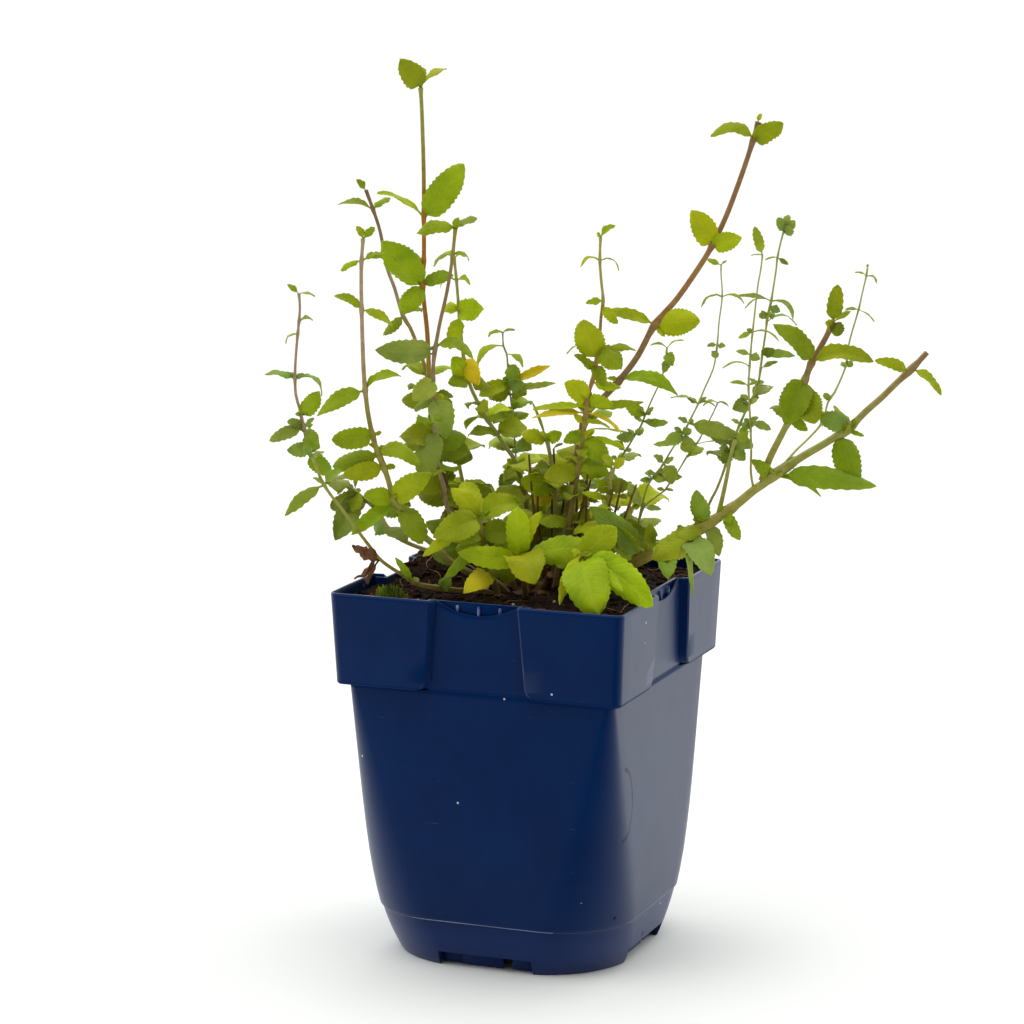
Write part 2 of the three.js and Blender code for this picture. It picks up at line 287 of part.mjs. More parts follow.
// A closed skin over rings that each have the same number of points. The ends are closed with a
// fan: to a point where the ring before the first or after the last is a single point.
function skin(rings) {
  const points = rings.flat();
  const starts = [];
  rings.reduce((sum, ring) => (starts.push(sum), sum + ring.length), 0);
  const faces = [];
  for (let i = 0; i + 1 < rings.length; i++) {
    const lower = rings[i].length;
    const upper = rings[i + 1].length;
    const count = Math.max(lower, upper);
    for (let k = 0; k < count; k++) {
      const a = starts[i] + (k % lower);
      const b = starts[i] + ((k + 1) % lower);
      const c = starts[i + 1] + (k % upper);
      const d = starts[i + 1] + ((k + 1) % upper);
      if (lower > 1) faces.push(a, b, d);
      if (upper > 1) faces.push(a, d, c);
    }
  }
  const geometry = new THREE.BufferGeometry().setFromPoints(points);
  geometry.setIndex(faces);
  return geometry;
}

// The piece that is left after cutting, without any crumbs cut loose from it.
function largest(solid) {
  const pieces = solid.decompose();
  return pieces.reduce((best, piece) => (piece.volume() > best.volume() ? piece : best), pieces[0]);
}

function boxesMeet(a, b) {
  const p = a.boundingBox();
  const q = b.boundingBox();
  return [0, 1, 2].every((i) => p.min[i] <= q.max[i] && q.min[i] <= p.max[i]);
}

// A solid cut back from everything it would run into.
function clearOf(solid, obstacles) {
  let result = solid;
  for (const obstacle of obstacles)
    if (boxesMeet(result, obstacle)) result = result.subtract(obstacle);
  return result === solid ? solid : largest(result);
}

// ---- Pot: one moulded shell ----

// The body narrows slowly below the collar and curves in quickly towards its base.
function bodyHalf(z) {
  const share = Math.min(z / collarBottom, 1);
  return baseWidth / 2 + ((bodyWidth - baseWidth) / 2) * (1 - (1 - share) ** bodyCurve);
}

function bodyCorner(z) {
  return THREE.MathUtils.lerp(cornerAtBase, cornerAtCollar, Math.min(z / collarBottom, 1));
}

function collarHalf(z) {
  const share = (z - collarBottom) / (potHeight - collarBottom);
  return THREE.MathUtils.lerp(collarFootWidth, rimWidth, share) / 2;
}

// One level outline of the pot: a square with round corners, each side set back in its middle.
function outline(z, half, corner, setBack, setBackHalf) {
  const ring = [];
  const arcSteps = 4;
  const step = 0.6;
  const reach = Math.min(setBackHalf, half - corner - 2 * step);
  for (let side = 0; side < 4; side++) {
    const turn = (side * Math.PI) / 2;
    const place = (x, y) => {
      const cos = Math.cos(turn);
      const sin = Math.sin(turn);
      ring.push(new THREE.Vector3(x * cos - y * sin, x * sin + y * cos, z));
    };
    place(-reach - step, -half);
    place(-reach, -half + setBack);
    place(reach, -half + setBack);
    place(reach + step, -half);
    for (let k = 0; k <= arcSteps; k++) {
      const angle = -Math.PI / 2 + (k / arcSteps) * (Math.PI / 2);
      const centre = half - corner;
      place(centre + corner * Math.cos(angle), -centre + corner * Math.sin(angle));
    }
  }
  return ring;
}

// The pot's outer form moved inwards by inset, from one height up to another.
function potForm(inset, from, to, setBackExtra = 0) {
  const rings = [];
  const addRing = (z, half, corner, setBack) =>
    rings.push(outline(z, half - inset, Math.max(corner - inset, 0.8), setBack, recessHalf + inset));
  const bodyLevels = [0, 8, 12, 17.5, 30, 48, 75, collarBottom].filter((z) => z > from);
  for (const z of [from, ...bodyLevels]) addRing(z, bodyHalf(z), bodyCorner(z), 0.05);
  const ledge = collarBottom + inset;
  addRing(ledge + 0.4, collarHalf(collarBottom), cornerAtCollar, 2.2 + setBackExtra);
  addRing(to, collarHalf(to), cornerAtCollar, recessDepth + setBackExtra);
  const bottom = [new THREE.Vector3(0, 0, from)];
  const top = [new THREE.Vector3(0, 0, to)];
  return skin([bottom, ...rings, top]);
}

function box(width, depth, height, x, y, z) {
  return new THREE.BoxGeometry(width, depth, height).translate(x, y, z);
}

// The same shape on each of the pot's four sides.
function onFourSides(make) {
  return [0, 1, 2, 3].map((side) => solidOf(make().rotateZ((side * Math.PI) / 2)));
}

function scallop() {
  const arc = new THREE.Shape();
  arc.moveTo(-recessHalf, potHeight + 1);
  arc.lineTo(-recessHalf, potHeight - 0.2);
  arc.quadraticCurveTo(0, potHeight - 2 * scallopDepth, recessHalf, potHeight - 0.2);
  arc.lineTo(recessHalf, potHeight + 1);
  const cut = new THREE.ExtrudeGeometry(arc, { depth: 4.5, bevelEnabled: false, curveSegments: 8 });
  return cut.rotateX(Math.PI / 2).translate(0, -rimWidth / 2 + 4.3, 0);
}

// The shallow pocket behind each scallop, open at the top and split by three small ribs.
function labelPocket() {
  const height = pocket.top - pocket.bottom;
  const middle = (pocket.top + pocket.bottom) / 2;
  const outer = rimWidth / 2 - recessDepth - wall + 0.6;
  const y = -outer + pocket.depth / 2;
  const block = solidOf(box(2 * pocket.half, pocket.depth, height, 0, y, middle));
  const hollow = box(2 * (pocket.half - wall), pocket.depth - 2 * wall, height, 0, y, middle + wall);
  let shell = block.subtract(solidOf(hollow));
  for (const x of [-8, 0, 8])
    shell = shell.add(solidOf(box(pocket.rib, pocket.depth - wall, height - 3, x, y, middle - 1)));
  return shell;
}

// The room that a label pocket takes up in the soil.
function pocketRoom() {
  const inner = rimWidth / 2 - recessDepth - wall - pocket.depth + 0.6 - soilGap;
  const depth = rimWidth / 2 - inner;
  const height = 40;
  const z = pocket.bottom - soilGap + height / 2;
  return box(2 * (pocket.half + soilGap), depth, height, 0, -inner - depth / 2, z);
}

function makePot() {
  let pot = solidOf(potForm(0, 0, potHeight));
  pot = pot.subtract(solidOf(potForm(wall, floorTop, potHeight + 1)));
  for (const cut of onFourSides(scallop)) pot = pot.subtract(cut);
  const pockets = [0, 90, 180, 270].map((turn) => labelPocket().rotate([0, 0, turn]));
  for (const one of pockets) pot = pot.add(one);
  const underside = outline(-1, bodyHalf(0) - 5, bodyCorner(0) - 5, 0.05, recessHalf);
  const undersideTop = underside.map((p) => p.clone().setZ(floorUnder));
  const below = [new THREE.Vector3(0, 0, -1)];
  const above = [new THREE.Vector3(0, 0, floorUnder)];
  pot = pot.subtract(solidOf(skin([below, underside, undersideTop, above])));
  const notchDepth = 12;
  const notch = () =>
    box(notchWidth, notchDepth, notchHeight + 1, 0, -baseWidth / 2 + 2, notchHeight / 2 - 0.5);
  for (const cut of onFourSides(notch)) pot = pot.subtract(cut);
  const plate = () => box(notchWidth, wall, floorUnder, 0, -baseWidth / 2 + 4, floorUnder / 2 + 0.6);
  for (const back of onFourSides(plate)) pot = pot.add(back);
  const pad = new THREE.CylinderGeometry(footPadRadius, footPadRadius, floorTop - 0.4, 24);
  pot = pot.add(solidOf(pad.rotateX(Math.PI / 2).translate(0, 0, (floorTop - 0.4) / 2)));
  for (const shift of [-drainSlot.length, drainSlot.length]) {
    const slot = () => box(drainSlot.length, drainSlot.width, 6, shift, -drainSlot.out, floorUnder);
    for (const cut of onFourSides(slot)) pot = pot.subtract(cut);
  }
  return largest(pot);
}

// ---- Soil ----

function soilTop(x, y) {
  const away = ((x - soilMound.x) ** 2 + (y - soilMound.y) ** 2) / soilMound.spread ** 2;
  const lumps = Math.sin(x * 0.31 + y * 0.17) * Math.sin(y * 0.27 - x * 0.11);
  return soilLevel + soilMound.height * Math.exp(-away) + 1.1 * lumps;
}

// Fills the pot inside its walls and label pockets. lift raises its top and widens nothing.
function makeSoil(lift) {
  const inset = wall + soilGap;
  const rings = [];
  const levels = [floorTop + soilGap, 8.5, 12, 17.5, 30, 48, 75, collarBottom];
  for (const z of levels)
    rings.push(outline(z, bodyHalf(z) - inset, bodyCorner(z), 0.05, recessHalf + inset));
  const shoulder = collarBottom + inset + 0.6;
  const inside = (z) => outline(z, collarHalf(z) - inset, cornerAtCollar, recessDepth, pocket.half + soilGap);
  rings.push(inside(shoulder));
  const pocketBack = recessDepth + pocket.depth - wall + soilGap;
  const besidePocket = (z) =>
    outline(z, collarHalf(z) - inset, cornerAtCollar, pocketBack, pocket.half + soilGap);
  rings.push(inside(pocket.bottom - 2.5));
  rings.push(besidePocket(pocket.bottom - 0.8));
  const edge = besidePocket(soilLevel);
  const shares = [1, 0.82, 0.62, 0.4, 0.2];
  for (const share of shares)
    rings.push(
      edge.map((p) => {
        const x = p.x * share;
        const y = p.y * share;
        const drop = share === 1 ? 1.2 : 0;
        return new THREE.Vector3(x, y, Math.min(soilTop(x, y) - drop + lift, 139));
      }),
    );
  const bottom = [new THREE.Vector3(0, 0, floorTop + soilGap)];
  const top = [new THREE.Vector3(0, 0, soilTop(0, 0) + lift)];
  let soil = solidOf(skin([bottom, ...rings, top]));
  for (const room of onFourSides(pocketRoom)) soil = soil.subtract(room);
  return soil;
}

function ellipsoid(size, centre, grow = 0) {
  const ball = new THREE.SphereGeometry(1, 14, 9).rotateX(Math.PI / 2);
  ball.scale(size.x + grow, size.y + grow, size.z + grow);
  return solidOf(ball.translate(centre.x, centre.y, centre.z));
}

// ---- Stems and leaves, in the plant's frame ----

function curveOf(route) {
  return new THREE.CatmullRomCurve3(route.map((p) => new THREE.Vector3(...p)), false, "centripetal");
}

// A catmint stem is square in section.
function stemSolid(curve, radius, grow = 0) {
  const half = radius + grow;
  const section = new THREE.Shape();
  section.moveTo(half, 0);
  section.lineTo(0, half);
  section.lineTo(-half, 0);
  section.lineTo(0, -half);
  const steps = Math.max(3, Math.round(curve.getLength() / stemStep));
  return solidOf(new THREE.ExtrudeGeometry(section, { steps, extrudePath: curve, bevelEnabled: false }));
}

// The point of a stem's centre line at a height.
function stemPointAt(curve, height) {
  const samples = curve.getPoints(240);
  const miss = (p) => Math.abs(p.z - height);
  return samples.reduce((best, p) => (miss(p) < miss(best) ? p : best), samples[0]);
}

// A leaf: a thin blade folded a little along its midrib, on a short stalk.
function leafSolid(base, leaf, grow = 0) {
  const [, across, away, up, width, bow, facing] = leaf;
  const reach = new THREE.Vector3(across, away, up);
  const along = reach.clone().normalize();
  const face = new THREE.Vector3(0, -facing, 1 - Math.abs(facing));
  face.addScaledVector(along, -face.dot(along)).normalize();
  const side = new THREE.Vector3().crossVectors(along, face);
  const thick = leafThickness / 2 + grow;
  const start = base.clone().addScaledVector(along, -grow);
  const end = base.clone().add(reach).addScaledVector(along, grow);
  const stations = [
    [0.2, 0.11],
    [0.45, 0.5],
    [0.78, 0.33],
  ];
  const rings = stations.map(([share, spread]) => {
    const middle = start.clone().lerp(end, share);
    middle.addScaledVector(face, 4 * bow * share * (1 - share));
    const reachOut = spread * width + grow;
    const lift = leafFold * spread * width;
    const edge = (sign) =>
      middle.clone().addScaledVector(side, sign * reachOut).addScaledVector(face, lift);
    return [
      middle.clone().addScaledVector(face, thick),
      edge(1),
      middle.clone().addScaledVector(face, -thick),
      edge(-1),
    ];
  });
  return solidOf(skin([[start], ...rings, [end]]));
}

const turnDegrees = THREE.MathUtils.radToDeg(plantTurn);
const toPlantFrame = (solid) => solid.rotate([0, 0, -turnDegrees]);
const toPartFrame = (solid) => solid.rotate([0, 0, turnDegrees]);

const potSolid = makePot();
const potSpace = solidOf(potForm(-gap, -1, potHeight + gap)).subtract(
  solidOf(potForm(wall + gap, floorTop, potHeight + 1)),
);
const crownSolid = ellipsoid(crownSize, crownCentre);
const crownSpace = ellipsoid(crownSize, crownCentre, gap);
const soilSolid = largest(makeSoil(0).subtract(toPartFrame(crownSpace)));
const soilSpace = makeSoil(1.5 * gap);
const taken = [toPlantFrame(potSpace), toPlantFrame(soilSpace), crownSpace];

// Every stem first, so that leaves make way for stems and no stem is cut by a leaf.
const shoots = new Map();
const grown = [];
for (const [name, footRadius, tipRadius, route, leaves] of stems) {
  const curve = curveOf(route);
  const radius = (footRadius + tipRadius) / 2;
  const others = grown.filter((entry) => entry.name !== name).map((entry) => entry.solid);
  const stem = clearOf(stemSolid(curve, radius), [...taken, ...others]);
  grown.push({ name, solid: stemSolid(curve, radius, gap) });
  const shoot = shoots.get(name) ?? { body: null, leaves: [] };
  shoot.body = shoot.body ? shoot.body.add(stem) : stem;
  for (const leaf of leaves) shoot.leaves.push({ leaf, base: stemPointAt(curve, leaf[0]) });
  shoots.set(name, shoot);
}

// The small leaves are one with their stem.
const isLarge = ({ leaf }) => leaf[4] >= ownNodeLeafWidth;
const isSmall = ({ leaf }) => leaf[4] >= leastLeafWidth && leaf[4] < ownNodeLeafWidth;
for (const [name, shoot] of shoots) {
  const others = grown.filter((entry) => entry.name !== name).map((entry) => entry.solid);
  for (const { leaf, base } of shoot.leaves.filter(isSmall)) {
    const blade = clearOf(leafSolid(base, leaf), [...taken, ...others]);
    shoot.body = shoot.body.add(blade);
    grown.push({ name, solid: leafSolid(base, leaf, gap) });
  }
  shoot.body = largest(shoot.body);
}

// Each large leaf is a piece of its own, its stalk's end just off the stem.
const largeLeaves = [];
for (const [name, shoot] of shoots)
  shoot.leaves.filter(isLarge).forEach(({ leaf, base }, index) => {
    const obstacles = [...taken, ...grown.map((entry) => entry.solid)];
    const blade = clearOf(leafSolid(base, leaf), obstacles);
    grown.push({ name, solid: leafSolid(base, leaf, gap) });
    largeLeaves.push([`${name.replace("shoot", "leaf")}_${index + 1}`, blade]);
  });

// ---- Small things lying on the soil ----

const litter = [
  ["bark_chip_1", [-20, -38, 131], [9, 5, 2.4], 0.4],
  ["bark_chip_2", [3, -44, 130.6], [7, 4, 2.2], 1.2],
  ["bark_chip_3", [34, 6, 131], [8, 5, 2.4], 2.3],
  ["bark_chip_4", [12, 40, 131], [9, 4, 2.4], 0.9],
];
const mossSize = new THREE.Vector3(6.5, 4.5, 3.4);
const mossCentre = new THREE.Vector3(-53, -30, 131.5);
const driedBase = new THREE.Vector3(-54, -30, 146);
const driedLeaf = [0, -9, -3, 6, 7, 2.5, 0.8];

const everything = [...taken, ...grown.map((entry) => entry.solid)];
const litterSolids = litter.map(([name, place, size, turn]) => {
  const chip = box(...size, 0, 0, 0).rotateZ(turn).translate(...place);
  return [name, clearOf(solidOf(chip), everything)];
});
const mossSolid = clearOf(ellipsoid(mossSize, mossCentre), everything);
const driedSolid = clearOf(leafSolid(driedBase, driedLeaf), everything);

// ---- Assembly ----

const plant = new THREE.Group();
plant.rotation.z = plantTurn;
plant.add(meshOf("crown", crownSolid, colours.crown, 0.9));
for (const [name, shoot] of shoots) plant.add(meshOf(name, shoot.body, colours.stem));
for (const [name, blade] of largeLeaves) plant.add(meshOf(name, blade, colours.leaf));
for (const [name, chip] of litterSolids) plant.add(meshOf(name, chip, colours.bark, 0.9));
plant.add(meshOf("moss_tuft", mossSolid, colours.moss, 0.9));
plant.add(meshOf("dried_leaf", driedSolid, colours.dried, 0.8));

const pottedCatmint = new THREE.Group();
pottedCatmint.add(meshOf("pot", potSolid, colours.pot, 0.4));
pottedCatmint.add(meshOf("potting_mix", soilSolid, colours.soil, 1));
pottedCatmint.add(plant);

export default pottedCatmint;
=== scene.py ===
import math
import random

import bmesh
import bpy
from mathutils import Matrix, Vector, noise


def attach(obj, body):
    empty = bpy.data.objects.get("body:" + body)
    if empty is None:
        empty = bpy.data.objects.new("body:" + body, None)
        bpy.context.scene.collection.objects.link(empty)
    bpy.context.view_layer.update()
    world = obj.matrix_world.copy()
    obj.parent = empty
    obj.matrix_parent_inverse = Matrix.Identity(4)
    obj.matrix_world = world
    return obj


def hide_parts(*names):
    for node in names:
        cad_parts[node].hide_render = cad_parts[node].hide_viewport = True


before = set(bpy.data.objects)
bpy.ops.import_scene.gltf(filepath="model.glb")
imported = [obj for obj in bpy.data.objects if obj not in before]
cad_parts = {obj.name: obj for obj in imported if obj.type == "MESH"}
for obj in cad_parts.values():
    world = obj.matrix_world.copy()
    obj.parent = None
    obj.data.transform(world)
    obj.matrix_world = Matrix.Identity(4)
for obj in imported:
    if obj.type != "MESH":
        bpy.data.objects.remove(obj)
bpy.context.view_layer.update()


# ---- The stage ----
# A pale, seamless sheet under soft white studio light. The light is strongest above, behind and
# at the sides, and weaker from the front, as in a white tent that is open towards the viewer.

view_turn = math.radians(21.5)
view_rise = math.radians(10.4)
view_distance = 1.300
view_centre = Vector((-0.00614, -0.00242, 0.1582))

back_of_view = Vector((
    math.sin(view_turn) * math.cos(view_rise),
    -math.cos(view_turn) * math.cos(view_rise),
    math.sin(view_rise),
))
camera_data = bpy.data.cameras.new("camera")
camera_data.sensor_width = 36
camera_data.lens = 127.3
camera = bpy.data.objects.new("camera", camera_data)
camera.location = view_centre + view_distance * back_of_view
camera.rotation_euler = (math.pi / 2 - view_rise, 0, view_turn)
bpy.context.collection.objects.link(camera)
bpy.context.scene.camera = camera
bpy.context.scene.view_settings.view_transform = "Standard"


def paint(red, green, blue):
    """A display colour, 0 to 255, as the shader's linear colour."""
    linear = []
    for value in (red, green, blue):
        share = value / 255
        linear.append(share / 12.92 if share <= 0.04045 else ((share + 0.055) / 1.055) ** 2.4)
    return (*linear, 1.0)


def node_in(tree, kind, inputs=None, **settings):
    """A new node with its settings, its plain input values, and links for inputs given as sockets."""
    node = tree.nodes.new(kind)
    for key, value in settings.items():
        setattr(node, key, value)
    for key, value in (inputs or {}).items():
        if isinstance(value, bpy.types.NodeSocket):
            tree.links.new(value, node.inputs[key])
        else:
            node.inputs[key].default_value = value
    return node


def ramp_in(tree, factor, stops):
    """A colour ramp over factor, with stops of place and colour."""
    ramp = node_in(tree, "ShaderNodeValToRGB", {"Fac": factor})
    elements = ramp.color_ramp.elements
    elements[0].position, elements[0].color = stops[0]
    elements[1].position, elements[1].color = stops[-1]
    for place, colour in stops[1:-1]:
        elements.new(place).color = colour
    return ramp.outputs["Color"]


def range_in(tree, value, low, high, at_low, at_high):
    """value stretched so that low becomes at_low and high becomes at_high, and held between them."""
    stretch = node_in(tree, "ShaderNodeMapRange", {
        "Value": value, "From Min": low, "From Max": high, "To Min": at_low, "To Max": at_high,
    })
    return stretch.outputs["Result"]


def grey(value):
    return (value, value, value, 1.0)


world = bpy.data.worlds.new("studio")
bpy.context.scene.world = world
world.use_nodes = True
world_tree = world.node_tree
world_tree.nodes.clear()
direction = node_in(world_tree, "ShaderNodeTexCoord").outputs["Generated"]
turned = node_in(world_tree, "ShaderNodeMapping", {"Vector": direction, "Rotation": (0, 0, -view_turn)})
parts = node_in(world_tree, "ShaderNodeSeparateXYZ", {"Vector": turned.outputs["Vector"]})
towards_back = range_in(world_tree, parts.outputs["Y"], -0.75, 0.1, 0.0, 1.0)
strength = ramp_in(world_tree, towards_back, [(0.0, grey(0.16)), (1.0, grey(1.0))])
background = node_in(world_tree, "ShaderNodeBackground", {"Color": strength, "Strength": 1.55})
node_in(world_tree, "ShaderNodeOutputWorld", {"Surface": background.outputs["Background"]})

for name, place, size, watts in [
    ("light_over", (0.1, 0.35, 1.5), 1.2, 3.5),
    ("light_front_high", (-0.5, -0.9, 1.6), 0.9, 4.5),
]:
    lamp_data = bpy.data.lights.new(name, "AREA")
    lamp_data.shape = "DISK"
    lamp_data.size = size
    lamp_data.energy = watts
    lamp = bpy.data.objects.new(name, lamp_data)
    lamp.location = place
    lamp.rotation_euler = (Vector((0, 0, 0.15)) - Vector(place)).to_track_quat("-Z", "Y").to_euler()
    bpy.context.collection.objects.link(lamp)

sheet_mesh = bpy.data.meshes.new("studio_floor")
sheet_shape = bmesh.new()
bmesh.ops.create_grid(sheet_shape, x_segments=8, y_segments=8, size=60.0)
sheet_shape.to_mesh(sheet_mesh)
sheet_shape.free()
floor = bpy.data.objects.new("studio_floor", sheet_mesh)
bpy.context.collection.objects.link(floor)
floor_paint = bpy.data.materials.new("studio_floor")
floor_paint.use_nodes = True
floor_shader = floor_paint.node_tree.nodes["Principled BSDF"].inputs
floor_shader["Base Color"].default_value = paint(240, 242, 238)
floor_shader["Roughness"].default_value = 0.9
floor_shader["Specular IOR Level"].default_value = 0.1
floor.data.materials.append(floor_paint)


# ---- The pot ----
# One thin injection-moulded shell of navy polypropylene. A square collar with four corner lobes
# stands proud of a body that narrows and rounds off towards four corner feet. Each side of the
# rim dips over a label pocket, and each side of the base has a notch for drainage.

rim_half = 55.0
collar_foot_half = 53.5
body_half = 50.0
base_half = 44.0
pot_height = 135.0
collar_bottom = 102.0
wall = 1.2
corner_at_collar = 3.0
corner_at_base = 32.0
body_curve = 5.9
crease_height = 17.5
crease_step = 0.45
dip_depth = 5.0
dip_half = 16.5
dip_fade_start = 118.0
dip_fade_length = 16.4
lobe_edge_low = 18.0
lobe_edge_high = 15.5
lobe_rounding_height = 4.5
lobe_rounding_width = 4.0
set_back_low = 3.0
set_back_high = 3.7
notch_height = 5.4
notch_half = 18.0
notch_edge = 17.5


def mix(a, b, share):
    return a + (b - a) * share


def smooth(share):
    share = min(max(share, 0.0), 1.0)
    return share * share * (3 - 2 * share)


def side_point(x, half, corner):
    """How far out the side is, at x along it, on a square of that half width with round corners."""
    over = abs(x) - (half - corner)
    if over <= 0:
        return half
    return half - corner + math.sqrt(max(corner * corner - over * over, 0.0))


def pot_ring(z, half, corner, edge, set_back, lip):
    """One level of the pot's outside. The middle of each side, out to edge, is set back by
    set_back. lip gives each point its height from its place along the side."""
    inner_shares = [0.0, 0.16, 0.32, 0.48, 0.62, 0.75, 0.86, 0.95]
    edge_steps = [(0.0, 1.0), (0.3, 0.62), (0.7, 0.14), (1.4, 0.0)]
    flat_start = edge + edge_steps[-1][0]
    corner_start = max(half - corner, mix(flat_start, half, 0.35))
    half_side = [(share * edge, set_back) for share in inner_shares]
    half_side += [(edge + step, set_back * keep) for step, keep in edge_steps]
    half_side += [(mix(flat_start, corner_start, k / 4), 0.0) for k in (1, 2, 3, 4)]
    centre = half - corner
    first_angle = math.asin(min((corner_start - centre) / corner, 1.0))
    arc = [mix(first_angle, math.pi / 4, k / 5) for k in (1, 2, 3, 4, 5)]
    right = [(x, -side_point(x, half, corner) + back, x) for x, back in half_side]
    right += [(centre + corner * math.sin(a), -centre - corner * math.cos(a), 99.0) for a in arc]
    left = [(-x, y, place) for x, y, place in reversed(right[1:-1])]
    side = left + right
    ring = []
    for turn in range(4):
        cos, sin = ((1, 0), (0, 1), (-1, 0), (0, -1))[turn]
        ring += [Vector((x * cos - y * sin, x * sin + y * cos, lip(z, p))) for x, y, p in side]
    return ring


def loft(bm, rings, mark=None):
    """A closed skin through rings of points, given in order. A ring may be drawn to one point, and
    mark is called with each new point, to give it its attributes."""
    count = len(rings[0])
    grid = bmesh.ops.create_grid(bm, x_segments=count, y_segments=len(rings) - 1, size=1.0)["verts"]
    for number, vert in enumerate(grid):
        row, column = divmod(number, count + 1)
        vert.co = rings[row][column % count]
        if mark:
            mark(vert)
    bmesh.ops.remove_doubles(bm, verts=grid, dist=1e-4)


def add_block(bm, size, place, turn=0.0, rounding=0.0):
    """A small block with rounded edges."""
    block = bmesh.ops.create_cube(bm, size=1.0)["verts"]
    matrix = Matrix.Rotation(turn, 4, "Z") @ Matrix.Translation(place) @ Matrix.Diagonal((*size, 1.0))
    bmesh.ops.transform(bm, matrix=matrix, verts=block)
    if rounding:
        edges = list({edge for vert in block for edge in vert.link_edges})
        bmesh.ops.bevel(
            bm, geom=edges, offset=rounding, affect="EDGES", segments=2, profile=0.5, material=-1,
        )


def finish_piece(bm, name, replaced, finish, turn=0.0, sharp=38.0):
    """The finished piece: millimetres to metres, turned to its place, sharp edges marked."""
    bmesh.ops.transform(
        bm, matrix=Matrix.Rotation(turn, 4, "Z") @ Matrix.Scale(0.001, 4), verts=bm.verts,
    )
    for face in bm.faces:
        face.smooth = True
    for edge in bm.edges:
        edge.smooth = not edge.is_manifold or edge.calc_face_angle(0.0) < math.radians(sharp)
    mesh = bpy.data.meshes.new(name)
    bm.to_mesh(mesh)
    bm.free()
    piece = bpy.data.objects.new(name, mesh)
    bpy.context.collection.objects.link(piece)
    piece.data.materials.append(finish)
    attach(piece, "root")
    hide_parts(*replaced)
    return piece


def body_half_at(z):
    half = mix(base_half, body_half, 1 - (1 - min(z / collar_bottom, 1.0)) ** body_curve)
    return half - crease_step * (1 - smooth((z - crease_height + 0.35) / 0.5))


def body_corner_at(z):
    return mix(corner_at_base, corner_at_collar, min(z / collar_bottom, 1.0))


def collar_share(z):
    return (z - collar_bottom) / (pot_height - collar_bottom)


def collar_half_at(z):
    return mix(collar_foot_half, rim_half, collar_share(z))


def lobe_edge_at(z):
    """Where the corner lobes of the collar begin, with their lower corners rounded."""
    edge = mix(lobe_edge_low, lobe_edge_high, collar_share(z))
    below = min(max((collar_bottom + lobe_rounding_height - z) / lobe_rounding_height, 0.0), 1.0)
    return edge + lobe_rounding_width * (1 - math.sqrt(1 - below * below))


def base_lip(z, along):
    return max(z, notch_height) if abs(along) < notch_half - 0.4 else z


def rim_lip(z, along):
    share = min(abs(along) / dip_half, 1.0)
    return z - dip_depth * (1 - share * share) * smooth((z - dip_fade_start) / dip_fade_length)


def body_ring(z, inset=0.0, height=None):
    corner = max(body_corner_at(z) - inset, 0.8)
    level = z if height is None else height
    return pot_ring(level, body_half_at(z) - inset, corner, notch_edge, 0.0, base_lip)


def collar_ring(z, inset=0.0):
    set_back = mix(set_back_low, set_back_high, collar_share(z))
    corner = max(corner_at_collar - inset, 0.8)
    level = max(z, collar_bottom)
    return pot_ring(z, collar_half_at(level) - inset, corner, lobe_edge_at(level) + inset, set_back, rim_lip)


foot_levels = [0.0, 0.5, 2.6, 5.4, 7.0, 9.0, 12.0, 15.0, 16.9, 17.25, 17.5, 17.8, 19.0, 23.0, 30.0]
body_levels = [38.0, 47.0, 56.0, 66.0, 76.0, 86.0, 95.0, 101.4]
collar_levels = [102.6, 103.4, 104.4, 105.4, 106.6, 109.0, 114.0]
collar_levels += [118.0, 122.0, 126.0, 129.0, 131.5, 133.3, 134.4]
floor_bottom = 5.6
floor_top = 6.9
foot_pad_half = 14.0


def level_ring(ring, z):
    """A ring of points, all at one height."""
    return [Vector((point.x, point.y, z)) for point in ring]


pot_shape = bmesh.new()
point_count = len(body_ring(0.0))
rings = [[Vector((0, 0, floor_bottom))] * point_count]
rings.append(level_ring(body_ring(floor_bottom, foot_pad_half), floor_bottom))
rings.append(level_ring(body_ring(floor_bottom, wall), floor_bottom))
rings.append(body_ring(0.0, wall))
rings.append(body_ring(0.0, 0.35))
rings += [body_ring(z) for z in foot_levels[1:] + body_levels]
rings.append(body_ring(collar_bottom))
rings.append(collar_ring(collar_bottom, 0.45))
rings += [collar_ring(z) for z in collar_levels]
rings.append(collar_ring(pot_height, 0.3))
rings.append(collar_ring(pot_height, wall - 0.25))
rings += [collar_ring(z, wall) for z in reversed(collar_levels) if z > 104]
rings.append(collar_ring(collar_bottom + 1.2, wall))
rings.append(body_ring(101.4, wall, collar_bottom + 1.0))
rings += [body_ring(z, wall) for z in reversed(body_levels + foot_levels) if floor_top + 1 < z < 100]
rings.append(level_ring(body_ring(floor_top, wall), floor_top))
rings.append([Vector((0, 0, floor_top))] * point_count)
loft(pot_shape, rings)

# Behind each dip of the rim there is a label pocket, open at the top.
pocket_half = 19.2
pocket_bottom = 116.0
pocket_top = 134.2
pocket_back = 48.6
pocket_sheet = 1.0
pocket_depth = 4.0
pocket_height = pocket_top - pocket_bottom
pocket_middle = (pocket_top + pocket_bottom) / 2
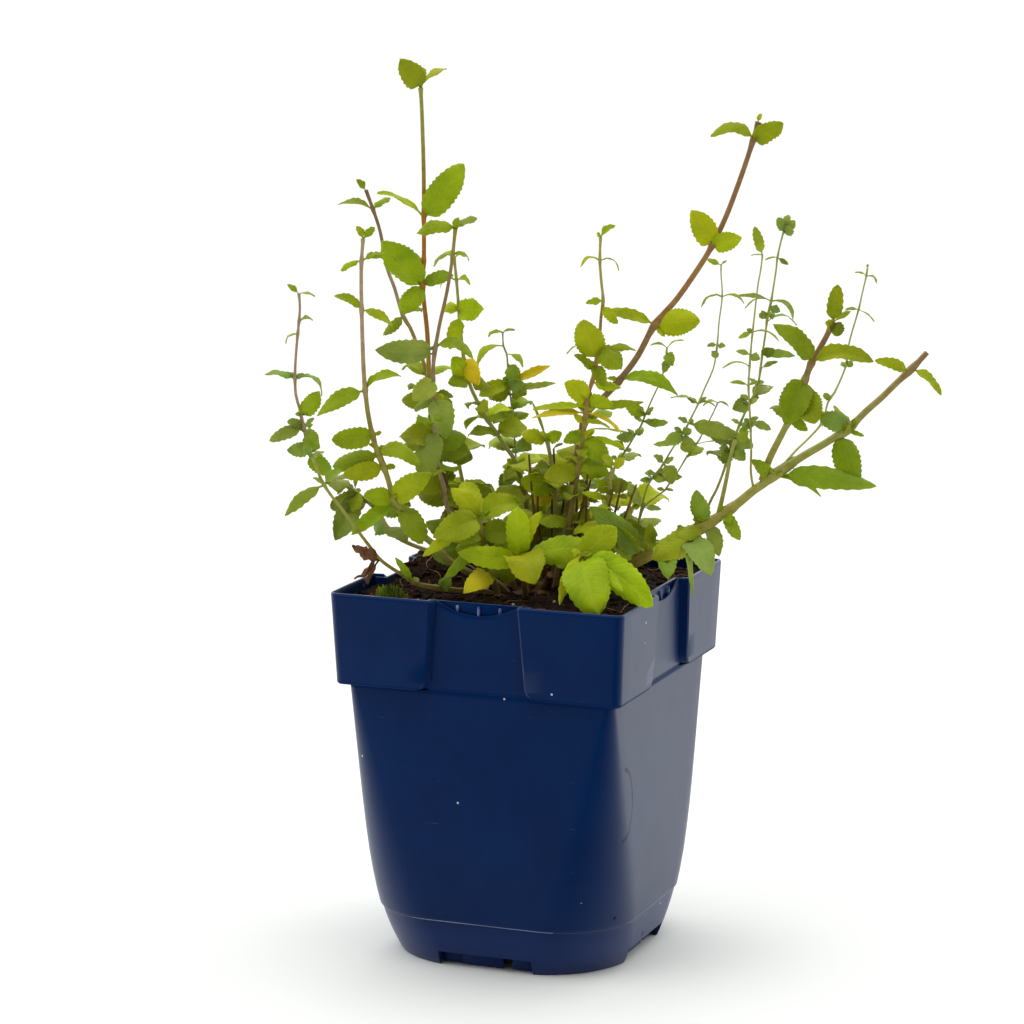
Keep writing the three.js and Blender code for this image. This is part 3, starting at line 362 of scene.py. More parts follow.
# Behind each notch of the base stands a skirt of three plates with a gap before the last: the
# middle of each along the side, its width, and how far out it stands.
skirt_plates = [(-13.8, 7.4, 39.6), (-2.2, 15.6, 40.4), (13.4, 8.6, 40.2)]
skirt_middle = 3.2
for side in range(4):
    turn = side * math.pi / 2
    back_size = (2 * pocket_half, pocket_sheet, pocket_height)
    add_block(pot_shape, back_size, (0, -pocket_back, pocket_middle), turn, 0.3)
    for x in (-pocket_half + pocket_sheet / 2, pocket_half - pocket_sheet / 2):
        cheek_place = (x, -pocket_back - pocket_depth / 2, pocket_middle)
        add_block(pot_shape, (pocket_sheet, pocket_depth, pocket_height), cheek_place, turn, 0.2)
    for x, width, out in skirt_plates:
        add_block(pot_shape, (width, wall, notch_height), (x, -out, skirt_middle), turn, 0.2)
# The pad under the middle of the floor.
pad_height = 6.0
bmesh.ops.create_cone(
    pot_shape, cap_ends=True, cap_tris=False, segments=40, radius1=foot_pad_half,
    radius2=foot_pad_half + 0.4, depth=pad_height, matrix=Matrix.Translation((0, 0, pad_height / 2)),
)
bmesh.ops.recalc_face_normals(pot_shape, faces=pot_shape.faces)


def pattern_group(name, inputs, outputs):
    """An empty group of nodes with named inputs and outputs."""
    group = bpy.data.node_groups.new(name, "ShaderNodeTree")
    for label, kind, value in inputs:
        socket = group.interface.new_socket(label, in_out="INPUT", socket_type=kind)
        if value is not None:
            socket.default_value = value
    for label, kind in outputs:
        group.interface.new_socket(label, in_out="OUTPUT", socket_type=kind)
    return group, group.nodes.new("NodeGroupInput"), group.nodes.new("NodeGroupOutput")


# Mottling: two sizes of soft blotches, which shift a surface between two of its colours.
mottle_group, inlet, outlet = pattern_group(
    "mottle",
    [("Scale", "NodeSocketFloat", 100.0), ("Contrast", "NodeSocketFloat", 2.0),
     ("Light", "NodeSocketColor", None), ("Dark", "NodeSocketColor", None)],
    [("Color", "NodeSocketColor"), ("Height", "NodeSocketFloat")],
)
coords = node_in(mottle_group, "ShaderNodeTexCoord").outputs["Object"]
broad = node_in(mottle_group, "ShaderNodeTexNoise", {
    "Vector": coords, "Scale": inlet.outputs["Scale"], "Detail": 6.0, "Roughness": 0.62,
})
centred = node_in(mottle_group, "ShaderNodeMath", {0: broad.outputs["Fac"], 1: 0.5}, operation="SUBTRACT")
spread = node_in(mottle_group, "ShaderNodeMath", {
    0: centred.outputs[0], 1: inlet.outputs["Contrast"], 2: 0.5,
}, operation="MULTIPLY_ADD", use_clamp=True)
blend = node_in(mottle_group, "ShaderNodeMix", {"Factor": spread.outputs[0]}, data_type="RGBA")
mottle_group.links.new(inlet.outputs["Dark"], blend.inputs[6])
mottle_group.links.new(inlet.outputs["Light"], blend.inputs[7])
mottle_group.links.new(blend.outputs[2], outlet.inputs["Color"])
mottle_group.links.new(broad.outputs["Fac"], outlet.inputs["Height"])

# Specks: small scattered dots of random size, for dust, grit and scuffs.
speck_group, inlet, outlet = pattern_group(
    "specks",
    [("Scale", "NodeSocketFloat", 200.0), ("Size", "NodeSocketFloat", 0.12),
     ("Share", "NodeSocketFloat", 0.2)],
    [("Mask", "NodeSocketFloat")],
)
coords = node_in(speck_group, "ShaderNodeTexCoord").outputs["Object"]
cells = node_in(speck_group, "ShaderNodeTexVoronoi", {"Vector": coords, "Scale": inlet.outputs["Scale"]})
cell_colour = node_in(speck_group, "ShaderNodeSeparateColor", {"Color": cells.outputs["Color"]})
near = node_in(speck_group, "ShaderNodeMath", {
    0: cells.outputs["Distance"], 1: inlet.outputs["Size"],
}, operation="LESS_THAN")
chosen = node_in(speck_group, "ShaderNodeMath", {
    0: cell_colour.outputs["Red"], 1: inlet.outputs["Share"],
}, operation="LESS_THAN")
both = node_in(speck_group, "ShaderNodeMath", {
    0: near.outputs[0], 1: chosen.outputs[0],
}, operation="MULTIPLY")
speck_group.links.new(both.outputs[0], outlet.inputs["Mask"])


def new_finish(name, roughness, specular=0.5):
    """A material with its Principled shader, roughness and strength of gloss set."""
    finish = bpy.data.materials.new(name)
    finish.use_nodes = True
    shader = finish.node_tree.nodes["Principled BSDF"]
    shader.inputs["Roughness"].default_value = roughness
    shader.inputs["Specular IOR Level"].default_value = specular
    return finish, finish.node_tree, shader


def mottle_in(tree, scale, contrast, light, dark):
    return node_in(tree, "ShaderNodeGroup", {
        "Scale": scale, "Contrast": contrast, "Light": light, "Dark": dark,
    }, node_tree=mottle_group)


def specks_in(tree, scale, size, share):
    return node_in(tree, "ShaderNodeGroup", {
        "Scale": scale, "Size": size, "Share": share,
    }, node_tree=speck_group).outputs["Mask"]


def colour_mix(tree, factor, a, b):
    """Colour a where factor is 0 and b where it is 1. Each may be a colour or a socket."""
    return node_in(tree, "ShaderNodeMix", {0: factor, 6: a, 7: b}, data_type="RGBA").outputs[2]


def place_in(tree):
    return node_in(tree, "ShaderNodeTexCoord").outputs["Object"]


def noise_in(tree, place, scale, detail):
    noise_node = node_in(tree, "ShaderNodeTexNoise", {"Vector": place, "Scale": scale, "Detail": detail})
    return noise_node.outputs["Fac"]


def maths(tree, operation, *values, clamp=False):
    inputs = dict(enumerate(values))
    return node_in(tree, "ShaderNodeMath", inputs, operation=operation, use_clamp=clamp).outputs[0]


def bump_in(tree, shader, height, strength, distance):
    bump = node_in(tree, "ShaderNodeBump", {"Height": height, "Strength": strength, "Distance": distance})
    tree.links.new(bump.outputs["Normal"], shader.inputs["Normal"])


def mottled_finish(name, roughness, specular, mottling, relief=None):
    """A material in two mottled colours. mottling holds its scale, contrast and colours. relief
    holds how strong and how deep its bumps are, if it has any."""
    finish, tree, shader = new_finish(name, roughness, specular)
    shade = mottle_in(tree, *mottling)
    tree.links.new(shade.outputs["Color"], shader.inputs["Base Color"])
    if relief:
        bump_in(tree, shader, shade.outputs["Height"], *relief)
    return finish


pot_plastic, tree, shader = new_finish("navy_polypropylene", 0.38, 0.02)
shade = mottle_in(tree, 34.0, 2.2, paint(0, 35, 82), paint(0, 28, 72))
place = place_in(tree)
axes = node_in(tree, "ShaderNodeSeparateXYZ", {"Vector": place})
height = axes.outputs["Z"]
# The foot below the crease is painted a little duller, lighter and more violet.
low = range_in(tree, height, 0.012, 0.0185, 1.0, 0.0)
lighter_foot = colour_mix(tree, low, shade.outputs["Color"], paint(22, 42, 90))
# A pale line is painted along the crease, on the flat middle of each side, broken up by noise.
from_crease = maths(tree, "ABSOLUTE", maths(tree, "SUBTRACT", height, 0.01755))
on_crease = maths(tree, "LESS_THAN", from_crease, 0.00014)
flat_half = 0.027
side_x = maths(tree, "LESS_THAN", maths(tree, "ABSOLUTE", axes.outputs["X"]), flat_half)
side_y = maths(tree, "LESS_THAN", maths(tree, "ABSOLUTE", axes.outputs["Y"]), flat_half)
flat_part = maths(tree, "MAXIMUM", side_x, side_y)
patchy = noise_in(tree, place, 90.0, 3.0)
crease_mask = maths(tree, "MULTIPLY", maths(tree, "MULTIPLY", on_crease, flat_part), patchy)
with_line = colour_mix(tree, crease_mask, lighter_foot, paint(170, 186, 220))
# A painted highlight: the top edge of the rim is painted paler.
painted_rim_highlight = range_in(tree, height, 0.1341, 0.1349, 0.0, 0.55)
with_rim = colour_mix(tree, painted_rim_highlight, with_line, paint(54, 72, 120))
# White grit, dark soil specks and fine rubbed scratches.
with_grit = colour_mix(tree, specks_in(tree, 110.0, 0.045, 0.20), with_rim, paint(170, 184, 210))
with_dirt = colour_mix(tree, specks_in(tree, 95.0, 0.045, 0.10), with_grit, paint(30, 26, 34))
stretched = node_in(tree, "ShaderNodeMapping", {
    "Vector": place, "Rotation": (0.5, 0.9, 0.3), "Scale": (14, 14, 150),
})
scratches = range_in(tree, noise_in(tree, stretched.outputs["Vector"], 6.0, 2.0), 0.76, 0.80, 0.0, 0.12)
with_scratches = colour_mix(tree, scratches, with_dirt, paint(120, 135, 170))
# One long curved scuff on the right side, and dried mud splashes low down.
scuff_forward = 0.0375
scuff_height = 0.0635
scuff_radius = 0.008
scuff_width = 0.0005
scuff_y = maths(tree, "ADD", axes.outputs["Y"], scuff_forward)
scuff_z = maths(tree, "MULTIPLY", maths(tree, "SUBTRACT", height, scuff_height), 0.62)
y_squared = maths(tree, "MULTIPLY", scuff_y, scuff_y)
z_squared = maths(tree, "MULTIPLY", scuff_z, scuff_z)
from_middle = maths(tree, "SQRT", maths(tree, "ADD", y_squared, z_squared))
from_arc = maths(tree, "ABSOLUTE", maths(tree, "SUBTRACT", from_middle, scuff_radius))
near_arc = maths(tree, "LESS_THAN", from_arc, scuff_width)
far_half = maths(tree, "GREATER_THAN", scuff_y, 0.0)
right_side = maths(tree, "GREATER_THAN", axes.outputs["X"], 0.040)
on_arc = maths(tree, "MULTIPLY", maths(tree, "MULTIPLY", near_arc, far_half), right_side)
scuff_mask = maths(tree, "MULTIPLY", on_arc, patchy)
with_scuff = colour_mix(tree, scuff_mask, with_scratches, paint(8, 16, 40))
low_down = maths(tree, "LESS_THAN", height, 0.034)
splashed = maths(tree, "MULTIPLY", low_down, right_side)
mud = maths(tree, "MULTIPLY", specks_in(tree, 240.0, 0.22, 0.07), splashed)
with_mud = colour_mix(tree, mud, with_scuff, paint(30, 24, 26))
tree.links.new(with_mud, shader.inputs["Base Color"])
tree.links.new(range_in(tree, patchy, 0.3, 0.7, 0.36, 0.43), shader.inputs["Roughness"])
# The moulded skin is matt to look straight at and shines where the light grazes it.
shader.inputs["Coat Roughness"].default_value = 0.36
facing = node_in(tree, "ShaderNodeLayerWeight", {"Blend": 0.5}).outputs["Facing"]
grazing = range_in(tree, facing, 0.04, 0.50, 0.0, 0.76)
# The lower edge of the collar is in its own shade.
from_collar = maths(tree, "ABSOLUTE", maths(tree, "SUBTRACT", height, 0.1017))
under_collar = range_in(tree, from_collar, 0.0009, 0.0016, 0.12, 1.0)
dulled = maths(tree, "MULTIPLY", maths(tree, "MAXIMUM", scuff_mask, mud), 0.8)
marked = maths(tree, "SUBTRACT", 1.0, dulled)
shaded = maths(tree, "MULTIPLY", under_collar, marked)
shine = maths(tree, "MULTIPLY", grazing, shaded)
tree.links.new(shine, shader.inputs["Coat Weight"])
bump_in(tree, shader, noise_in(tree, place, 900.0, 2.0), 0.12, 0.0002)

finish_piece(pot_shape, "square_pot", ["pot"], pot_plastic, sharp=32.0)

# The ribs in the label pockets, whitened where labels have been pushed in.
rib_size = (0.8, 1.5, 15.0)
rib_out = 49.5
rib_middle = 125.6
rib_shape = bmesh.new()
for side in range(4):
    for x in (-8.0, 0.0, 8.0):
        add_block(rib_shape, rib_size, (x, -rib_out, rib_middle), side * math.pi / 2, 0.2)
rib_colours = (500.0, 4.0, paint(112, 128, 168), paint(30, 52, 104))
scuffed_plastic = mottled_finish("scuffed_polypropylene", 0.5, 0.3, rib_colours, (0.4, 0.0002))
finish_piece(rib_shape, "label_pocket_ribs", [], scuffed_plastic)


# ---- The potting mix ----
# One root-bound block of dark peat and bark, a few millimetres below the rim and heaped up at
# the back left corner. Loose crumbs, bark fibres and a little perlite lie on it.

plant_turn = view_turn
mix_level = 130.3
mound_place = Vector((-46.0, 14.0))
mound_height = 7.5
mound_spread = 22.0
highest_crumb = 139.5
room_between_walls = 53.1
room_between_pockets = 47.7


def mix_height(x, y):
    """The height of the mix at a place in the pot, without its crumbs."""
    away = (Vector((x, y)) - mound_place).length_squared / mound_spread ** 2
    lumps = noise.fractal(Vector((x, y, 3.0)) * 0.09, 0.9, 2.1, 4)
    crumbs = noise.noise(Vector((x, y, 9.0)) * 0.55)
    return min(mix_level + mound_height * math.exp(-away) + 1.5 * lumps + 0.7 * crumbs, highest_crumb)


def room_at(across):
    """Half the room between two walls at a place along them: less between the label pockets."""
    return mix(room_between_pockets, room_between_walls, smooth((abs(across) - pocket_half - 0.4) / 1.6))


def inside_outline(point, half, corner):
    """The point where the way out from the middle through point meets a round-cornered square."""
    direction = point.normalized()
    near, far = 0.0, half * 1.5
    for _ in range(24):
        reach = (near + far) / 2
        x, y = abs(direction.x * reach), abs(direction.y * reach)
        if max(x, y) <= half and y <= side_point(x, half, corner):
            near = reach
        else:
            far = reach
    return direction * near


mix_shape = bmesh.new()
top = bmesh.ops.create_grid(mix_shape, x_segments=104, y_segments=104, size=room_between_walls)["verts"]
for vert in top:
    x, y = vert.co.x, vert.co.y
    vert.co.x = max(min(x, room_at(y)), -room_at(y))
    vert.co.y = max(min(y, room_at(x)), -room_at(x))
    vert.co.z = mix_height(vert.co.x, vert.co.y)
# Below its top the block follows the inside of the pot: the collar first, then the body.
block_levels = [
    (117.0, 0, 0), (104.5, 0, 0), (99.0, 48.0, 3.0), (60.0, 47.4, 14.0), (30.0, 45.5, 24.0),
    (12.0, 42.5, 29.0), (7.4, 41.0, 30.0),
]
collar_taper = 0.975
edges = [edge for edge in mix_shape.edges if edge.is_boundary]
for z, half, corner in block_levels:
    grown = bmesh.ops.extrude_edge_only(mix_shape, edges=edges)["geom"]
    for vert in (item for item in grown if isinstance(item, bmesh.types.BMVert)):
        if half:
            vert.co.x, vert.co.y = inside_outline(Vector((vert.co.x, vert.co.y)), half, corner)
        else:
            vert.co.x *= collar_taper
            vert.co.y *= collar_taper
        vert.co.z = z
    edges = [item for item in grown if isinstance(item, bmesh.types.BMEdge)]
bmesh.ops.edgeloop_fill(mix_shape, edges=edges)
bmesh.ops.recalc_face_normals(mix_shape, faces=mix_shape.faces)

peat, tree, shader = new_finish("peat_and_bark", 0.95, 0.12)
shade = mottle_in(tree, 260.0, 3.2, paint(44, 30, 20), paint(12, 8, 6))
reddish = mottle_in(tree, 90.0, 5.0, grey(1.0), grey(0.0))
reddened = maths(tree, "MULTIPLY", reddish.outputs["Color"], 0.35)
warm = colour_mix(tree, reddened, shade.outputs["Color"], paint(66, 36, 22))
pale = colour_mix(tree, specks_in(tree, 420.0, 0.2, 0.10), warm, paint(104, 82, 58))
tree.links.new(pale, shader.inputs["Base Color"])
bump_in(tree, shader, shade.outputs["Height"], 0.9, 0.0012)
finish_piece(mix_shape, "potting_mix_block", ["potting_mix"], peat, sharp=80.0)

random_crumb = random.Random(11)
noise.seed_set(4)


def kept_inside(x, y, margin):
    """A place on the mix, moved in where it is nearer to a wall than margin."""
    x = max(min(x, room_at(y) - margin), margin - room_at(y))
    y = max(min(y, room_at(x) - margin), margin - room_at(x))
    return x, y


def scatter_spot(reach):
    """A place on the mix, anywhere inside a square of that half width."""
    x = random_crumb.uniform(-reach, reach)
    y = random_crumb.uniform(-reach, reach)
    x, y = kept_inside(x, y, 1.5)
    return Vector((x, y, mix_height(x, y)))


def any_turn():
    return Matrix.Rotation(random_crumb.uniform(0, math.tau), 4, "Z") @ Matrix.Rotation(
        random_crumb.uniform(-0.5, 0.5), 4, "X")


crumb_count = 760
crumb_shape = bmesh.new()
for _ in range(crumb_count):
    size = random_crumb.uniform(0.5, 1.7)
    stretch = Matrix.Diagonal((size * random_crumb.uniform(1.0, 2.2), size, size * 0.75, 1.0))
    place = Matrix.Translation(scatter_spot(53.0))
    matrix = place @ any_turn() @ stretch
    lump = bmesh.ops.create_icosphere(crumb_shape, subdivisions=1, radius=1.0, matrix=matrix)["verts"]
    for vert in lump:
        vert.co += Vector(noise.noise_vector(vert.co * 1.3)) * size * 0.35
        vert.co.z = min(vert.co.z, 139.8)
finish_piece(crumb_shape, "peat_crumbs", [], peat, sharp=20.0)

perlite_count = 26
perlite_shape = bmesh.new()
for _ in range(perlite_count):
    size = random_crumb.uniform(0.35, 0.8)
    place = Matrix.Translation(scatter_spot(52.0) + Vector((0, 0, 0.4)))
    bmesh.ops.create_icosphere(perlite_shape, subdivisions=1, radius=size, matrix=place @ any_turn())
perlite_colours = (700.0, 2.0, paint(214, 208, 196), paint(160, 148, 128))
perlite = mottled_finish("perlite", 0.9, 0.2, perlite_colours)
finish_piece(perlite_shape, "perlite_grains", [], perlite)


def strand_rings(points, radius_at, sides=8, squareness=0.0):
    """Rings around a line of points. radius_at gives the thickness from the share along it."""
    rings = []
    side = None
    for number, point in enumerate(points):
        before = points[max(number - 1, 0)]
        after = points[min(number + 1, len(points) - 1)]
        along = (after - before).normalized()
        if side is None:
            side = along.orthogonal().normalized()
        side = (side - along * side.dot(along)).normalized()
        up = along.cross(side)
        radius = radius_at(number / (len(points) - 1))
        ring = []
        for k in range(sides):
            angle = math.tau * k / sides
            reach = radius * (1 + squareness * math.cos(4 * angle))
            ring.append(point + (side * math.cos(angle) + up * math.sin(angle)) * reach)
        rings.append(ring)
    return rings


def add_strand(bm, points, radius_at, sides=8, squareness=0.0):
    rings = strand_rings(points, radius_at, sides, squareness)
    closed = [[points[0]] * sides, *rings, [points[-1]] * sides]
    loft(bm, closed)


def curve_points(route, spacing):
    """A smooth line through the points of a route, sampled at about that spacing."""
    line = []
    padded = [route[0] * 2 - route[1], *route, route[-1] * 2 - route[-2]]
    for a, b, c, d in zip(padded, padded[1:], padded[2:], padded[3:]):
        steps = max(1, round((c - b).length / spacing))
        for k in range(steps):
            t = k / steps
            line.append(0.5 * (2 * b + (c - a) * t + (2 * a - 5 * b + 4 * c - d) * t ** 2
                               + (3 * b - a - 3 * c + d) * t ** 3))
    line.append(route[-1].copy())
    return line


fibre_count = 70
fibre_shape = bmesh.new()
for _ in range(fibre_count):
    start = scatter_spot(51.0)
    turn = random_crumb.uniform(0, math.tau)
    length = random_crumb.uniform(5, 15)
    curl = random_crumb.uniform(-1.1, 1.1)
    points = []
    for k in range(5):
        share = k / 4
        x = start.x + math.cos(turn + curl * share) * length * share
        y = start.y + math.sin(turn + curl * share) * length * share
        x, y = kept_inside(x, y, 0.6)
        rise = 0.6 + random_crumb.uniform(0, 1.6) * math.sin(math.pi * share)
        points.append(Vector((x, y, mix_height(x, y) + rise)))
    add_strand(fibre_shape, points, lambda share: 0.16 * (1 - 0.6 * share), sides=4)
fibre_colours = (60.0, 6.0, paint(168, 138, 92), paint(58, 36, 24))
fibre = mottled_finish("bark_fibre", 0.8, 0.2, fibre_colours)
finish_piece(fibre_shape, "bark_fibres", [], fibre)


# ---- Bark chips ----
# Flat, splintered chips of composted pine bark, lying where the mix has settled round them.

bark, tree, shader = new_finish("pine_bark", 0.9, 0.15)
long_grain = node_in(tree, "ShaderNodeMapping", {"Vector": place_in(tree), "Scale": (300, 900, 900)})
grain = noise_in(tree, long_grain.outputs["Vector"], 1.0, 5.0)
bark_colour = ramp_in(tree, grain, [
    (0.3, paint(34, 20, 13)), (0.5, paint(92, 54, 31)), (0.7, paint(140, 92, 56)),
])
tree.links.new(bark_colour, shader.inputs["Base Color"])
bump_in(tree, shader, grain, 0.8, 0.0006)
bark_chips = [
    ("bark_chip_1", (-20, -38, 131), (9, 5, 2.4), 0.4),
    ("bark_chip_2", (3, -44, 130.6), (7, 4, 2.2), 1.2),
    ("bark_chip_3", (34, 6, 131), (8, 5, 2.4), 2.3),
    ("bark_chip_4", (12, 40, 131), (9, 4, 2.4), 0.9),
]
for name, place, size, turn in bark_chips:
    chip = bmesh.new()
    matrix = Matrix.Translation(place) @ Matrix.Rotation(turn, 4, "Z") @ Matrix.Diagonal((*size, 1.0))
    bmesh.ops.create_cube(chip, size=1.0)
    bmesh.ops.subdivide_edges(chip, edges=chip.edges, cuts=5, use_grid_fill=True)
    for vert in chip.verts:
        rounded = vert.co.normalized() * 0.5
        vert.co = vert.co.lerp(rounded, 0.45)
        vert.co += Vector(noise.noise_vector(vert.co * 4 + Vector(place))) * 0.09
    bmesh.ops.transform(chip, matrix=matrix, verts=chip.verts)
    finish_piece(chip, "splintered_" + name, [name], bark, plant_turn, sharp=30.0)


# ---- Moss ----
# A cushion of green moss and liverwort by the rim, made of many short pointed shoots.

moss_shape = bmesh.new()
moss_random = random.Random(5)
moss_middle = Vector((-50.0, -28.5, 132.0))
moss_half_length = 6.0
moss_half_width = 4.0
moss_shoot_count = 150
for _ in range(moss_shoot_count):
    angle = moss_random.uniform(0, math.tau)
    reach = math.sqrt(moss_random.random())
    foot = moss_middle.copy()
    foot.x += moss_half_length * reach * math.cos(angle)
    foot.y += moss_half_width * reach * math.sin(angle)
    height = (1 - reach * reach) * 4.2 + moss_random.uniform(1.0, 2.6)
    lean = Vector((math.cos(angle), math.sin(angle), 0)) * reach * 1.2
    middle_point = foot + lean / 2 + Vector((0, 0, height / 2 - 0.6))
    way_up = lean.lerp(Vector((0, 0, 2.0)), 0.6).to_track_quat("Z", "Y").to_matrix().to_4x4()
    matrix = Matrix.Translation(middle_point) @ way_up
    bmesh.ops.create_cone(
        moss_shape, cap_ends=True, segments=5, radius1=moss_random.uniform(0.45, 0.8), radius2=0.12,
        depth=height, matrix=matrix,
    )
moss, tree, shader = new_finish("moss", 0.85, 0.15)
shade = mottle_in(tree, 240.0, 4.0, paint(140, 160, 40), paint(58, 74, 20))
rusty = colour_mix(tree, specks_in(tree, 260.0, 0.5, 0.35), shade.outputs["Color"], paint(140, 84, 40))
tree.links.new(rusty, shader.inputs["Base Color"])
bump_in(tree, shader, shade.outputs["Height"], 0.6, 0.0005)
finish_piece(moss_shape, "moss_cushion", ["moss_tuft"], moss, plant_turn)


# ---- The crown ----
# The plant's woody base: a knot of old cut stems and thick roots, half buried in the mix.

crown_shape = bmesh.new()
crown_random = random.Random(23)
crown_middle = Vector((4.0, 0.0, 126.0))
crown_half = Vector((16.0, 13.0, 7.5))
cut_stem_count = 15
core = bmesh.ops.create_icosphere(crown_shape, subdivisions=4, radius=1.0)["verts"]
for vert in core:
    bump = 1 + 0.28 * noise.fractal(vert.co * 2.4, 0.8, 2.0, 4)
    vert.co = crown_middle + Vector(a * b * bump for a, b in zip(vert.co, crown_half))
for _ in range(cut_stem_count):
    angle = crown_random.uniform(0, math.tau)
    start = Vector((4 + 7 * math.cos(angle), 6 * math.sin(angle), 129))
    lean = Vector((math.cos(angle), math.sin(angle), crown_random.uniform(0.4, 1.6))).normalized()
    length = crown_random.uniform(7, 15)
    middle_point = start + lean * length * 0.5 + Vector((0, 0, crown_random.uniform(0, 1.5)))
    points = curve_points([start - lean * 3, middle_point, start + lean * length], 1.6)
    thick = crown_random.uniform(0.9, 1.9)

    def knobbly(share):
        return thick * (1.15 - 0.45 * share + 0.12 * math.sin(share * 19))

    add_strand(crown_shape, points, knobbly, 7)
wood_colours = (210.0, 3.6, paint(132, 100, 62), paint(52, 34, 20))
old_wood = mottled_finish("old_wood", 0.85, 0.2, wood_colours, (0.8, 0.0008))
finish_piece(crown_shape, "crown_wood", ["crown"], old_wood, plant_turn, sharp=60.0)


# ---- The shoots ----
# Square-sectioned mint stems, woody and brown below and green above, thickened at every node.
# Leaves stand on them in pairs: stalked, heart-shaped at the base, scalloped along the edge, with
# a herringbone of sunk veins. The first figures are the stem's half thickness at foot and tip.
# Then come the points that it grows through, and its leaves: the height of each on the stem, the
# way to its tip (across, away, up), its width, how far its midrib bows up, and how much its upper
# side faces the front (0 faces up, 1 faces the front).

